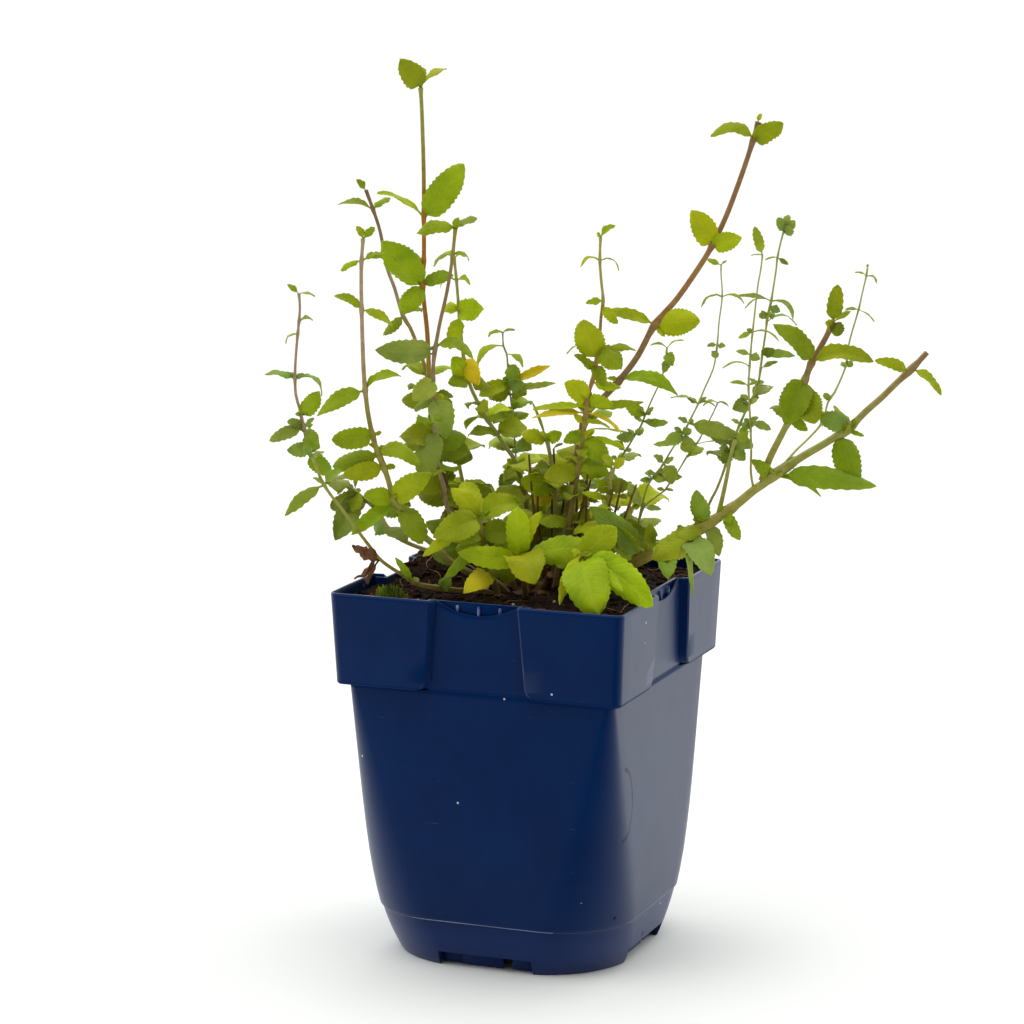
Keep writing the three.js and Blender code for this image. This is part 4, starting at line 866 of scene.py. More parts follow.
stems = [
    ["tall_left", 1.1, 0.7,
     [[-4, 6, 124], [-12, 8, 136], [-22, 8, 148], [-30, 6, 160], [-34, 5, 177], [-36, 5, 197],
      [-36.5, 5, 214], [-37, 5, 224], [-38.5, 6, 239], [-38, 8, 250], [-38, 9, 263], [-38, 10, 279],
      [-38.5, 11, 298], [-39, 12, 309]],
     [[308.5, -7, -6, 10, 9, 1, 0.9], [308.5, 8.5, 3, 7.5, 6, 1.5, 0.15], [308.5, 0, 6, 7, 5, 1, 0.3],
      [264, -16, 2, 10, 4, 2, 0.1], [264, 14, -4, 19, 11, 2, 0.9], [264, 3, 9, 4, 5, 1.5, 0.2],
      [240, -14, -6, 16, 12, 2, 0.9], [247, -10, -7, 2, 4, 1.5, 0.3], [240, -8, -4, -9, 8, 2, 0.8],
      [239, 11, 2, 4, 6, 2, 0.4], [197, -8, 14, 4, 9, 3, 0.2], [180, 8, 15, 2, 9, 3, 0.2]]],
    ["left_back", 1.0, 0.6,
     [[-6, 8, 124], [-16, 12, 140], [-26, 13, 155], [-32, 13, 172], [-35, 14, 190], [-37, 15, 205],
      [-41, 16, 217], [-43.5, 17, 223], [-46, 18, 227], [-49, 19, 237], [-51.5, 19, 244], [-54, 20, 257],
      [-56.5, 20, 265], [-59, 20, 272]],
     [[265, -12.5, 1, 2.5, 4, 2, 0.2], [265, 6, 5, 4, 4, 1, 0.4], [271, -3, -2, 4, 3, 0.5, 0.6],
      [226, -7, -2, -7, 4, 2.5, 0.8], [226, 7, 6, 2, 6, 2, 0.4], [246, -5, -5, 3, 4, 1, 0.4],
      [246, 5, 6, 3, 4, 1, 0.4], [206, 9, 10, 3, 8, 2, 0.2], [206, -9, 7, 3, 8, 2, 0.3],
      [182, -13, 11, 2, 9, 3, 0.2], [168, -10, 13, -3, 10, 3, 0.1]]],
    ["left_middle", 1.0, 0.6,
     [[-2, -2, 124], [-10, -6, 140], [-20, -8, 151], [-29, -8, 159.5], [-30.5, -8, 167.5],
      [-33, -8, 176.5], [-34, -8, 191.5], [-34.5, -8, 211.5], [-32.5, -8, 225.5], [-30, -8, 236.5],
      [-28.5, -8, 244.5], [-27.5, -8, 251.5], [-26.5, -8, 261]],
     [[260, -13.5, -2, -1, 6, 3, 0.6], [260, 7.5, 1, 4, 4, 1.5, 0.3], [260.5, 1, -2, 4, 3, 0.5, 0.5],
      [251.5, -7, -1, -3, 3, 2, 0.1], [251.5, 6, 1, -1, 3, 2, 0.1], [218, -21, -4, -0.5, 9, 2, 0.85],
      [216, -16, -2, -1, 4, 1.5, 0.3], [218.5, 13.5, -2, -3, 6, 4, 0.5], [208, -7, -7, -6, 8, 1, 0.9],
      [200, -7, -1, -3.5, 4, 1, 0.5], [201, 4.5, -6, -13, 9, 3, 0.8], [190, -5, -8, -15, 10, 2, 0.8]]],
    ["centre_left", 1.1, 0.5,
     [[2, 8, 124], [0, 11, 140], [-1, 13, 155], [-3.5, 14, 168], [-6, 14, 175.5], [-9, 14, 179.5],
      [-12, 14, 184.5], [-15.5, 14, 189.5], [-19.5, 14, 197], [-22, 14, 203], [-24, 14, 212],
      [-25.3, 14, 225], [-26.5, 14, 240], [-27.3, 14, 248]],
     [[247.5, -4, 1, 2, 3, 1, 0.3], [247.5, 4, -1, 1, 3, 1, 0.3], [241, -6, 2, -2, 3, 2, 0.2],
      [241, 5, -1, -1, 3, 2, 0.2], [230.5, 8.5, -3, 1, 9, 1.5, 0.85], [230.5, -6, 3, 1, 6, 1.5, 0.5],
      [228, -3.5, -5, -11, 6, 2, 0.9], [211, 5, -5, -9, 7, 1, 0.9], [205, -5, -4, 8, 7, 1, 0.8],
      [190, 9, 6, 3, 7, 2, 0.3], [190, -8, 9, -4, 8, 2, 0.3], [172, 9, 11, 1, 8, 2, 0.2]]],
    ["left_front", 1.3, 0.6,
     [[-4, -4, 124], [-12, -9, 134], [-20, -12, 137.5], [-28, -14, 142.5], [-33, -15, 148],
      [-41, -17, 155.5], [-48.3, -19, 165.5], [-49.3, -20, 169.7], [-51, -20, 175.7], [-54, -20, 183.7],
      [-55.3, -20, 187.7], [-57, -20, 195.7], [-58, -20, 203.7], [-58.7, -20, 213.7], [-59.2, -20, 233.7],
      [-59.2, -20, 248.7], [-58.5, -20, 258.7]],
     [[258.5, -2, -1, 4.5, 3, 0.5, 0.6], [258.5, 4, 1, 4, 3, 0.5, 0.6],
      [250.5, -7.4, -1, -3, 3.5, 1.5, 0.4], [250.5, 8, 1, 3, 3.5, 1, 0.4],
      [234, -9.3, -1, 5.5, 4, 1.5, 0.4], [234, 11, -1, -5, 4, 3, 0.5], [205.5, 12, -1, 6, 5, 2, 0.5],
      [205.5, -17, -3, -8.5, 7, 4, 0.7], [189, -14, -5, -1, 8, 2, 0.85], [183, 15, -3, -4, 7, 5, 0.4],
      [181, -17, 3, -4, 8, 2, 0.8], [178, -14, -5, -2, 7, 2, 0.8], [166, 13, -6, 11, 9, 2, 0.8],
      [167, -9, -6, 1, 7, 2, 0.85], [165, -15, -5, -11, 6, 2, 0.7], [163, 8, -9, -10, 9, 2, 0.9]]],
    ["far_left", 0.9, 0.45,
     [[-10, 16, 124], [-22, 20, 134], [-32, 24, 137.5], [-42, 27, 140.5], [-47, 29, 142.5],
      [-52, 30, 146.5], [-55.3, 31, 151.5], [-59.5, 32, 156], [-67.5, 33, 162], [-71.7, 33, 165],
      [-75.8, 34, 168], [-81, 34, 173.7], [-82.5, 34, 181.7], [-83.5, 34, 185.7], [-84.5, 34, 190.7],
      [-85.8, 34, 195.7], [-86, 34, 203.7], [-85.3, 34, 213.7], [-84, 34, 226.7], [-84.3, 34, 233]],
     [[232.5, -4, 0, 3.5, 2.5, 0.5, 0.5], [232.5, 6, 0, -0.5, 2.5, 1, 0.3], [223, 5, 0, 1, 3, 0.8, 0.3],
      [218, -5, 1, -3, 3, 1.5, 0.2], [202, -11, 1, 2.5, 4, 1.5, 0.3], [202, 10, 0, -6, 4, 4, 0.3],
      [187, 7, -3, 9, 7, 1, 0.9], [184, -12.5, -2, -5, 5, 2, 0.7], [183, -6, 0, 2, 4, 1, 0.7],
      [181, 5, -5, -5, 7, 1, 0.9], [176, -7, -4, 0, 6, 1, 0.9], [174, 8, -3, -7, 7, 1, 0.8],
      [160, -7, -6, -17, 9.5, 2, 0.9], [160, 1, -6, -7, 6, 1, 0.9], [160, 2, 3, 11, 2, 1, 0.2]]],
    ["low_left", 0.9, 0.5,
     [[-2, -8, 124], [-14, -16, 132], [-27.5, -21, 134], [-39.3, -24, 136.5], [-43.3, -25, 139],
      [-52, -26, 145], [-57, -26, 151], [-64.8, -27, 162], [-72.5, -28, 173], [-76.5, -28, 183]],
     [[173, -14, -3, -10, 5, 1, 0.8], [173, 6, 3, 5, 4, 1, 0.4], [182.5, -3, 0, 4, 3, 0.5, 0.5],
      [182.5, 4, 1, 2, 3, 0.5, 0.4], [137.5, -6, -2, 9, 3, 1.5, 0.8], [135, 3, -6, 5, 5, 1, 0.8]]],
    ["centre_back", 0.9, 0.45,
     [[6, 22, 124], [4, 28, 140], [0, 34, 155], [-3, 38, 165], [-5, 40, 170.5], [-6, 40, 182.5],
      [-7, 40, 192.5], [-7.8, 40, 199], [-8.2, 40, 206], [-8.6, 40, 210], [-9.8, 40, 213], [-10, 40, 218]],
     [[217.5, -5.5, 0, -1.5, 2.5, 1, 0.3], [217.5, 4.5, 0, 1, 2.5, 1, 0.3], [213, -10, 1, -8, 4, 4, 0.3],
      [209.5, 6.5, 0, -4.5, 3, 2, 0.3], [205, 4, -4, -6, 6, 1, 0.9], [199.5, 15, -2, 7, 4, 1, 0.5],
      [197, 17, 1, 2.5, 3.5, 1, 0.4], [197, 5, -4, 3, 6, 1, 0.9], [198, -11, -2, -4, 6, 1.5, 0.8],
      [188, -9, -2, -3, 5, 1.5, 0.8], [188, 7, 9, 2, 7, 2, 0.3], [176, -10, 12, 1, 9, 2, 0.2],
      [176, 10, 12, 2, 9, 2, 0.2], [162, -8, 15, -3, 10, 3, 0.1], [160, 9, 14, -2, 10, 3, 0.1]]],
    ["centre_right", 1.1, 0.45,
     [[8, -4, 124], [10, -6, 140], [12.8, -8, 152], [15.8, -9, 167], [18.8, -10, 188], [19.3, -10, 194],
      [20.3, -10, 202], [21.8, -10, 207], [23.3, -10, 215], [24.3, -10, 222], [24.8, -10, 230],
      [25.5, -10, 236], [24.8, -10, 243], [24.3, -10, 250], [24.5, -10, 258]],
     [[257.5, 5, 1, 4.5, 3, 0.8, 0.3], [257.5, -1, -1, 2, 2, 0.3, 0.5],
      [250.5, -7, -1, -1.5, 2.5, 2, 0.1], [250.5, 7, 1, -3.5, 2.5, 2.5, 0.1],
      [235.5, -6, -2, -0.5, 3, 0.5, 0.7], [235, 5, -3, -6, 4, 2, 0.8], [216, -5, -5, 14, 11, 1, 0.9],
      [217, 8, -5, -5, 9, 3, 0.8], [213, 3, -5, -7, 5, 0.5, 0.9], [217, -11, 1, 0, 3, 3, 0.1],
      [216, 14, 2, 3, 4, 4, 0.4], [210.5, -7, -1, 6, 4, 1, 0.5], [207, 10, -2, -1.5, 4, 0.5, 0.8],
      [201, -8, -5, 7, 8, 1, 0.9], [200.5, 9, -4, -1, 5, 1, 0.85], [197, 20, -2, 2.5, 3.5, 1, 0.5],
      [193, 9, 0, -1.5, 2.5, 1, 0.4], [196, 13, 1, -7, 2.5, 3, 0.3], [189, -7, -4, -2, 5, 1, 0.8],
      [187, 9, -4, -7, 8, 1, 0.85], [186, 15, -2, -3, 3, 1, 0.4], [179, 10, -5, -3, 7, 1, 0.8],
      [198.5, -19, 1, 0, 3.5, 1, 0.4], [196, -19, -2, -0.5, 4, 1, 0.5]]],
    ["arching_right", 1.5, 0.9,
     [[12, 0, 124], [13.5, 1, 140], [14, 2, 150], [15.5, 4, 171], [18.5, 5, 187], [21, 6, 194],
      [26, 7, 198.5], [31.7, 8, 204.5], [38.4, 9, 213.3], [44.6, 10, 224.7], [52.6, 12, 233.8],
      [60.8, 13, 245.6], [64.9, 14, 252.4], [70.1, 16, 263], [75.3, 18, 276.7], [78.9, 19, 287.5],
      [81.5, 20, 296.3]],
     [[289, -15, -2, 2.5, 6, 6, 0.5], [289.5, 10.5, -3, 6, 8, 0.5, 0.9], [295.8, 1, 0, 3, 2, 0.3, 0.3],
      [253, -7, -5, 13, 10, 1, 0.95], [253, 10, -5, 3.5, 8, 1, 0.9], [225, -19, -3, 6, 5, 4, 0.5],
      [225, 15, -6, 2.5, 11, 1, 0.9], [224, 3.5, -2, -4, 2.5, 0.5, 0.7], [204, 21, -4, -3, 7, 4, 0.6],
      [190, 10, 10, 3, 8, 2, 0.3], [176, 9, 11, 0, 9, 2, 0.3]]],
    ["right_back", 0.8, 0.45,
     [[14, 8, 124], [15, 12, 142], [17, 16, 150], [20, 20, 158], [25, 24, 162], [29, 26, 166.5],
      [32.4, 28, 172], [36, 28, 177.5], [38.5, 28, 182], [40.5, 28, 185], [42, 28, 189], [45, 28, 196],
      [47.7, 28, 202], [49.2, 28, 208], [49.8, 28, 214]],
     [[213.5, -6, 0, 1, 2, 1, 0.2], [213.5, 6, 0, 3, 2.5, 1, 0.2], [212, 2, -4, -4, 5, 0.5, 0.9],
      [211, -1, -3, -5, 4, 0.5, 0.8], [186, 9, -2, 0, 4, 0.3, 0.8], [188, -8, -4, 6, 6, 1, 0.9],
      [181.5, -7, -2, -1, 5, 1.5, 0.8], [182, -15, 1, 3, 2, 0.5, 0.2], [176, -4, 0, 4, 3, 0.3, 0.5],
      [172.5, 8, 11, 1, 8, 2, 0.3], [163, -5, 15, -1, 9, 2, 0.2]]],
    ["right_thin", 0.8, 0.4,
     [[12, -8, 124], [20, -11, 133], [30, -13, 141], [36.5, -14, 150], [39, -15, 161], [41.6, -16, 171],
      [46, -16, 177], [50, -17, 184], [54.4, -18, 191], [56.8, -18, 195.8], [59, -18, 200.3],
      [61, -18, 205.3], [64, -18, 212.3], [65, -18, 217.3], [65.6, -18, 223.3], [66, -18, 229.3],
      [67, -18, 238.3], [66.5, -18, 246.3], [66.5, -18, 249.5]],
     [[249, -5, -1, 2, 2.5, 0.5, 0.6], [249, 2, 1, 1.5, 1.5, 0.3, 0.3],
      [238, -7.5, -1, -3.5, 2.5, 2.5, 0.2], [238, 8, 0, -2, 2.5, 2, 0.1],
      [222, -3.5, -1, 0, 2.5, 0.3, 0.6], [221, 2.5, -2, 0, 3, 0.3, 0.6], [219, -1, -3, -2, 4, 0.3, 0.9],
      [201, -9.5, 0, 3, 3, 1.5, 0.3], [201, 6, 2, -1, 2, 1, 0.2], [194.5, 17, -3, -4, 7, 1, 0.85],
      [190, -6, -4, -2, 6, 0.5, 0.9], [188, -9, -2, -1.5, 3, 0.5, 0.7], [190, 3, -3, 2, 4, 0.3, 0.8],
      [178, 3, -5, -6, 7, 0.5, 0.9], [174, 5, -3, 0, 3, 0.3, 0.7], [174, -4, -3, 0, 3, 0.3, 0.7],
      [175, 9, -2, -1, 4, 0.3, 0.8], [164, -5, 5, 8, 5, 1, 0.7]]],
    ["right_inner", 0.7, 0.4,
     [[20, 2, 126], [30, 5, 140], [38.5, 7, 152], [41, 8, 158.5], [45.3, 9, 162], [48.8, 10, 164.5],
      [50.4, 10, 167], [53, 10, 170.7], [56.5, 10, 176.7], [59, 10, 180], [61, 10, 183], [63, 10, 187],
      [64, 10, 189], [66, 10, 193], [67.5, 10, 196.5]],
     [[196, -5.5, 0, -1, 2.5, 1.5, 0.3], [196, 4, 0, -1.5, 2, 1, 0.3], [189, 6, 0, -0.5, 1.5, 0.5, 0.2],
      [182, -6, -3, -1, 6.5, 0.5, 0.9], [182, 9, 0, 1.5, 1.2, 0.3, 0.1], [165, -3, 0, 0.5, 2, 0.2, 0.5],
      [165, 3, 0, 0, 2, 0.2, 0.5], [158, 6, -2, 0, 3, 0.5, 0.7], [176, 6, 7, 3, 5, 1, 0.3],
      [150, 10, 11, 2, 9, 2, 0.2]]],
    ["right_slender", 1.1, 0.5,
     [[24, -2, 126], [40, -1, 140], [55, 0, 150], [62, 0, 157], [65, 0, 163], [67, 0, 167],
      [69.5, 0, 174], [72, 0, 183], [74, 0, 188], [76.5, 0, 194], [79, 0, 199], [81, 0, 204],
      [82, 0, 210], [82.5, 0, 215], [83.5, 0, 222], [84, 0, 227], [84.5, 0, 230], [85.5, 0, 234.5],
      [86, 0, 238], [87, 0, 245], [87.5, 0, 250], [88.5, 0, 255], [89.5, 0, 259]],
     [[258.5, -2, -1, 5, 5, 0.5, 0.9], [258.5, 4, -1, 4, 5, 0.5, 0.9], [258.5, 2, 2, 6, 4, 0.5, 0.8],
      [258.5, 3, -3, 1, 5, 0.3, 0.9], [250, -4.5, 0, -0.5, 2, 0.5, 0.2], [250, 4, 0, -2.5, 2.5, 0.5, 0.6],
      [235, -13, 0, 2, 2.5, 2, 0.3], [234.5, 8, -1, -6.5, 3, 3.5, 0.5], [234, -9.5, 0, -2, 2, 2, 0.2],
      [232, 3, -4, -1, 4, 0.3, 0.9], [231, -3, -3, -1, 4, 0.3, 0.9], [230, 3, 3, -1, 4, 0.3, 0.8],
      [227, 11, 2, -1, 2, 3, 0.2], [214.5, 4, -3, 2.5, 5, 0.5, 0.9], [214, 11.5, -2, 0, 4, 0.8, 0.7],
      [209.5, 6, 0, 3, 2.5, 0.5, 0.4], [203.5, 5.5, 1, -0.5, 1.5, 0.5, 0.2],
      [197, -6, -4, -1, 7, 0.5, 0.9], [186, -9, -4, 1, 6.5, 1, 0.85], [186, 6, -5, -3, 7, 0.5, 0.9],
      [190, 4, -2, -1, 3, 0.3, 0.8], [180, -3, -5, -4, 5, 0.5, 0.8], [181, 5, -5, -3, 6, 0.5, 0.7],
      [199, 7, 10, 3, 7, 2, 0.2], [176, -6, 12, 2, 8, 2, 0.2]]],
    ["reaching_right", 2.2, 0.9,
     [[12, -8, 125], [24.7, -12, 136.2], [31.4, -16, 141], [39.3, -20, 145.7], [50, -22, 151.5],
      [60.7, -24, 157.4], [68.6, -24, 162.4], [74.5, -24, 167], [78.4, -24, 170.4], [81.4, -24, 172.4],
      [84.3, -24, 175], [90.2, -23, 178.7], [96.2, -22, 182.5], [102.4, -20, 185.7], [106.4, -19, 188],
      [111.4, -18, 190.8], [114.5, -17, 193.6], [118.5, -16, 197.5], [123.6, -14, 201.6],
      [128.7, -12, 206.2], [133.4, -11, 210.5], [135.9, -11, 213], [140, -10, 217.3]],
     [[210.5, -12, -2, 4.5, 5, 2.5, 0.7], [212, 10.5, -2, -9, 4.5, 2.5, 0.6],
      [192, -11, -7, 5, 9, 1, 0.9], [190.8, 6, -2, -1.5, 2.5, 0.3, 0.5], [190, 4, -9, -18, 12, 2, 0.9],
      [191, -4, 6, 8, 6, 1, 0.3], [176, 35, -5, -2.5, 10, 4, 0.8], [178, 6, 5, 4, 5, 0.5, 0.8],
      [175, -7, -5, 7, 6, 1, 0.85], [175, 18, -3, -5, 3.5, 2, 0.5], [163, 5, -4, -9, 6, 0.5, 0.9],
      [163, 1, -4, -3, 5, 0.3, 0.8], [157, -3, -6, 13, 8.5, 1, 0.95], [157, -11, -10, -1, 8, 1, 0.7],
      [156, -16, -18, -6, 12, 2, 0.8], [152, 10, -24, -6, 12, 3, 0.6], [150, 2, -24, -4, 10, 2, 0.6],
      [154, 1, -26, -16, 3, 3, 0.5], [158.5, 3, -8, -10, 7, 0.5, 0.9], [146, -18, -12, 20, 11, 3, 0.8],
      [147, 1, -12, 13, 6, 1, 0.9], [145, -9, -10, 14, 10, 1, 0.9]]],
    ["right_pair", 0.9, 0.6,
     [[65.8, -24, 160.7], [67.5, -22, 167], [69, -21, 174], [70.5, -20, 182], [72, -20, 188]],
     [[187.5, 4, -3, 3, 4, 0.5, 0.8], [187.5, -4, 2, 2, 4, 0.5, 0.5]]],
    ["right_upright", 0.8, 0.45,
     [[78.4, -24, 171], [77.4, -24, 176.5], [77.4, -24, 184.5], [77, -24, 194.5], [76.5, -24, 201.5],
      [76.2, -24, 207.5], [76.5, -24, 214.5], [77.2, -24, 224.5], [78, -24, 232.5], [79, -24, 242.5],
      [80, -24, 248.5], [80.5, -24, 253.5]],
     [[253, -3, -3, 10, 4.5, 0.5, 0.9], [253, -4, 1, 0, 1, 0.3, 0.2], [226, 9.5, 0, -3, 2.5, 2, 0.3],
      [226, -5, -1, -2, 2.5, 0.5, 0.7], [227, -2, 0, 1, 2, 0.2, 0.5], [218, -5, -1, 1.5, 2.5, 0.5, 0.7],
      [218, 3, -3, -1, 4, 0.3, 0.8], [215, -9.5, 0, 0, 2.5, 2, 0.2], [206.5, -6.5, 0, 1.5, 2.5, 1, 0.3],
      [206.5, 3, -1, 2, 2, 0.3, 0.4], [194.5, 7, -3, -2, 4, 0.5, 0.8], [193, -4, -2, -1, 3, 0.3, 0.8]]],
    ["right_thick", 1.3, 1.0,
     [[81.2, -25, 174], [83.6, -25, 181.3], [86, -26, 186.8], [89, -26, 192.8], [91, -26, 196.8],
      [95, -26, 207.8], [96.4, -26, 211.8], [97.9, -26, 215.8], [99.8, -26, 219.3], [102.8, -26, 224.8],
      [105.3, -26, 230.3]],
     [[229.8, 1, -3, 13, 7, 1, 0.9], [229.8, 6, 2, 4, 3, 0.5, 0.5], [229.8, 1.5, -5, -4, 6, 0.5, 0.95],
      [229, -2, -4, 2, 5, 0.5, 0.9], [215.5, -13, -2, 14, 9, 5, 0.75], [215.8, 21, -5, 2, 8, 6, 0.6],
      [210, -7, -6, -15, 13, 2, 0.9], [205, 4, -9, -10, 12, 1, 0.9], [207, 5, -2, -4, 4, 1, 0.5],
      [201, 10, -4, -3, 6, 1.5, 0.7], [196, 5, -5, -4, 5, 0.5, 0.9], [197, -6, 12, 2, 8, 2, 0.2]]],
    ["right_far", 0.7, 0.4,
     [[83.3, -24, 173.5], [89.5, -16, 178.3], [94.5, -8, 182], [99.5, 0, 185], [104.5, 4, 190],
      [107, 8, 197], [109.5, 10, 200.2], [112.5, 10, 207.2], [113.6, 10, 211.2], [114.4, 10, 218.2],
      [116.5, 10, 226.2], [117.6, 10, 230.2], [118.6, 10, 235.2], [120.1, 10, 242.2], [120.5, 10, 245]],
     [[243, -4, 0, 1.5, 1.2, 0.7, 0.2], [243, 4, 0, -2.5, 1.5, 1.5, 0.2], [244.5, 0, 0, 1.5, 1, 0.2, 0.2],
      [230, -5, 0, 0, 1.8, 0.5, 0.2], [230, 6, 0, -4, 1, 0.5, 0.1], [211, -2, -2, -1, 3, 0.3, 0.8],
      [211, 2, -2, -1, 3, 0.3, 0.8], [199, -3, -2, 1, 3, 0.3, 0.6], [190, 6, 8, 2, 6, 1.5, 0.2]]],
    ["front_centre", 1.2, 0.9,
     [[-2, -10, 124], [-2, -18, 134], [-3, -24, 141], [-4, -28, 148]],
     [[147, -21.5, -4, 3, 8, 3, 0.75], [147, 5, -17, -5, 14, 5, 0.6], [147, 29, -5, 5, 10, 4, 0.6],
      [147, -1, -3, 19, 9, 1, 0.9], [147, 7, -2, 17, 5, 0.5, 0.8]]],
    ["front_left", 1.2, 0.8,
     [[-10, -12, 124], [-14, -18, 140], [-17, -22, 152], [-18, -24, 161]],
     [[160, -16, -7, -6, 11, 4, 0.6], [160, -20, -6, -13, 5, 2, 0.8], [152, -14, -6, -13, 5, 1, 0.6],
      [140, -9, -24, -2, 8, 2, 0.7], [160, -10, 2, 10, 7, 2, 0.6], [160, 14, 5, 4, 9, 2, 0.5],
      [160, -6, 9, 11, 8, 2, 0.5]]],
    ["front_right", 1.3, 0.9,
     [[14, -14, 124], [17, -26, 138], [18, -36, 146], [18, -40, 151]],
     [[150.5, -8, -14, -15, 4, 1, 0.8], [149, 5, -22, -15, 15, 3, 0.75], [149, 23, -18, -13, 11, 3, 0.7],
      [149, 13, -20, -8, 4, 1, 0.8], [150, 12, 2, 10, 10, 1, 0.9]]],
    ["inner_right", 1.0, 0.7,
     [[16, -6, 124], [24, -12, 142], [28, -16, 154], [27.5, -18, 166], [29, -18, 177]],
     [[168, -4, -3, 5, 5, 0.5, 0.8], [170, 6, -3, 2, 6, 0.5, 0.8], [166, -9, -2, 3, 3, 0.5, 0.7],
      [176.5, -3, 2, 5, 4, 0.5, 0.5], [176.5, 4, 1, 4, 4, 0.5, 0.5], [154, 12, 8, 3, 9, 2, 0.4]]],
    ["inner_left", 1.0, 0.7,
     [[8, 2, 124], [9, 3, 148], [8.5, 3, 169], [6, 2, 184]],
     [[168, -12, -4, 3, 9, 2, 0.8], [164, -8, 3, -2, 5, 1, 0.7], [183.5, -9, -3, 3, 6, 1, 0.8],
      [183.5, 5, -2, 3, 5, 1, 0.8], [183.5, -5, 1, 14, 1.2, 0.5, 0.2]]],
    ["inner_back", 1.1, 0.8,
     [[13, 10, 124], [13.5, 12, 150], [15, 14, 167], [20, 15, 176]],
     [[174, 8, -3, 1, 7, 1, 0.8], [175, -9, 8, 3, 8, 2, 0.4], [160, 10, 11, -2, 9, 2, 0.3],
      [160, -10, 10, 0, 8, 2, 0.3]]],
    ["back_left", 1.1, 0.7,
     [[-8, 18, 124], [-18, 34, 142], [-24, 44, 158], [-27, 48, 171]],
     [[170.5, -10, 8, 3, 8, 2, 0.2], [170.5, 10, 9, 2, 8, 2, 0.2], [158, -14, 9, -2, 11, 3, 0.15],
      [158, 9, 13, -4, 10, 3, 0.1], [144, -13, 13, 0, 12, 3, 0.1], [144, 12, 14, -3, 11, 3, 0.1]]],
    ["back_middle", 1.1, 0.7,
     [[4, 20, 124], [6, 34, 142], [8, 46, 156], [8, 50, 167]],
     [[166.5, -10, 6, 2, 8, 2, 0.2], [166.5, 10, 8, 2, 8, 2, 0.2], [155, -9, 15, -5, 11, 3, 0.1],
      [155, 13, 12, -4, 11, 3, 0.1], [143, -14, 12, -4, 11, 3, 0.1]]],
    ["back_right", 1.1, 0.7,
     [[16, 16, 124], [26, 32, 137], [35, 43, 145], [38, 48, 151]],
     [[150.5, -10, 12, 2, 10, 3, 0.2], [150.5, 14, 6, 2, 11, 3, 0.2], [145, 4, 18, -6, 12, 3, 0.1],
      [142, 15, -4, 3, 10, 3, 0.3]]],
]

bright = paint(168, 184, 10)
fresh = paint(162, 174, 8)
green = paint(142, 158, 16)
greyish = paint(138, 156, 74)
deep = paint(104, 114, 14)
golden = paint(208, 186, 26)

shoot_colours = {
    "tall_left": (green, fresh), "left_back": (green, greyish), "left_middle": (green, greyish),
    "centre_left": (fresh, bright), "left_front": (green, fresh), "far_left": (greyish, green),
    "low_left": (greyish, green), "centre_back": (green, greyish), "centre_right": (fresh, green),
    "arching_right": (green, fresh), "right_back": (greyish, green), "right_thin": (greyish, green),
    "right_inner": (greyish, green), "right_slender": (greyish, deep), "reaching_right": (green, greyish),
    "right_pair": (greyish, green), "right_upright": (greyish, green), "right_thick": (green, deep),
    "right_far": (greyish, green), "front_centre": (bright, fresh), "front_left": (green, fresh),
    "front_right": (bright, bright),
}
inner_colours = (fresh, deep)
slim_shoots = {
    "centre_back", "right_back", "right_thin", "right_inner", "right_upright", "right_far", "right_slender",
}
slim_stem = 0.62
full_stem = 1.08
inner_shoots = {"inner_left", "inner_right", "inner_back"}

# Shoots with leaves at every joint, and the height that the thick growth reaches on each.
growth_foot = 143
bushy_shoots = {
    "tall_left": 205, "left_back": 200, "left_middle": 200, "centre_left": 205, "far_left": 165,
    "centre_back": 196, "centre_right": 190, "inner_left": 180, "inner_back": 172, "inner_right": 168,
    "right_back": 170, "right_inner": 152, "right_slender": 152, "back_left": 165, "back_middle": 162,
    "back_right": 150, "front_left": 158,
}

# How broad a shoot's leaves have grown, against their usual width.
leaf_breadth = {
    "reaching_right": 0.86, "right_thick": 0.86, "right_thin": 0.85, "right_inner": 0.85,
    "right_slender": 0.85, "right_upright": 0.85, "right_back": 0.85, "arching_right": 0.94,
    "front_right": 1.12, "front_centre": 1.05,
}

# Leaves that have turned yellow: the shoot, and the height on its stem.
turned_gold = {
    ("centre_back", 199.5), ("front_left", 140), ("centre_left", 211), ("inner_left", 164),
    ("centre_right", 196),
}

bark_brown = paint(146, 120, 78)
olive = paint(154, 146, 60)
stem_green = paint(164, 168, 84)
rust = paint(178, 128, 48)
plum = paint(178, 156, 122)
tan = paint(170, 132, 82)
twig_brown = paint(112, 86, 40)
# A stem's colours, from its foot up, each with the height that it stands for.
stem_colours = {
    "tall_left": [
        (125, bark_brown), (205, olive), (222, rust), (262, rust), (285, olive), (309, stem_green),
    ],
    "left_back": [(125, bark_brown), (215, olive), (235, plum), (265, bark_brown)],
    "left_middle": [(125, bark_brown), (170, plum), (240, bark_brown), (258, olive)],
    "left_front": [(125, bark_brown), (150, stem_green), (190, olive), (225, plum), (250, plum)],
    "far_left": [(130, bark_brown), (150, stem_green), (190, plum), (225, plum)],
    "centre_right": [(125, bark_brown), (190, olive), (206, tan), (226, tan), (240, stem_green)],
    "arching_right": [(125, bark_brown), (205, bark_brown), (240, tan), (296, bark_brown)],
    "reaching_right": [(125, bark_brown), (150, olive), (185, stem_green), (217, bark_brown)],
    "right_thick": [(174, olive), (200, stem_green), (216, bark_brown), (230, bark_brown)],
}
twig_colours = [(125, twig_brown), (200, twig_brown)]
plain_stem = [(125, bark_brown), (150, olive), (185, stem_green), (250, stem_green)]


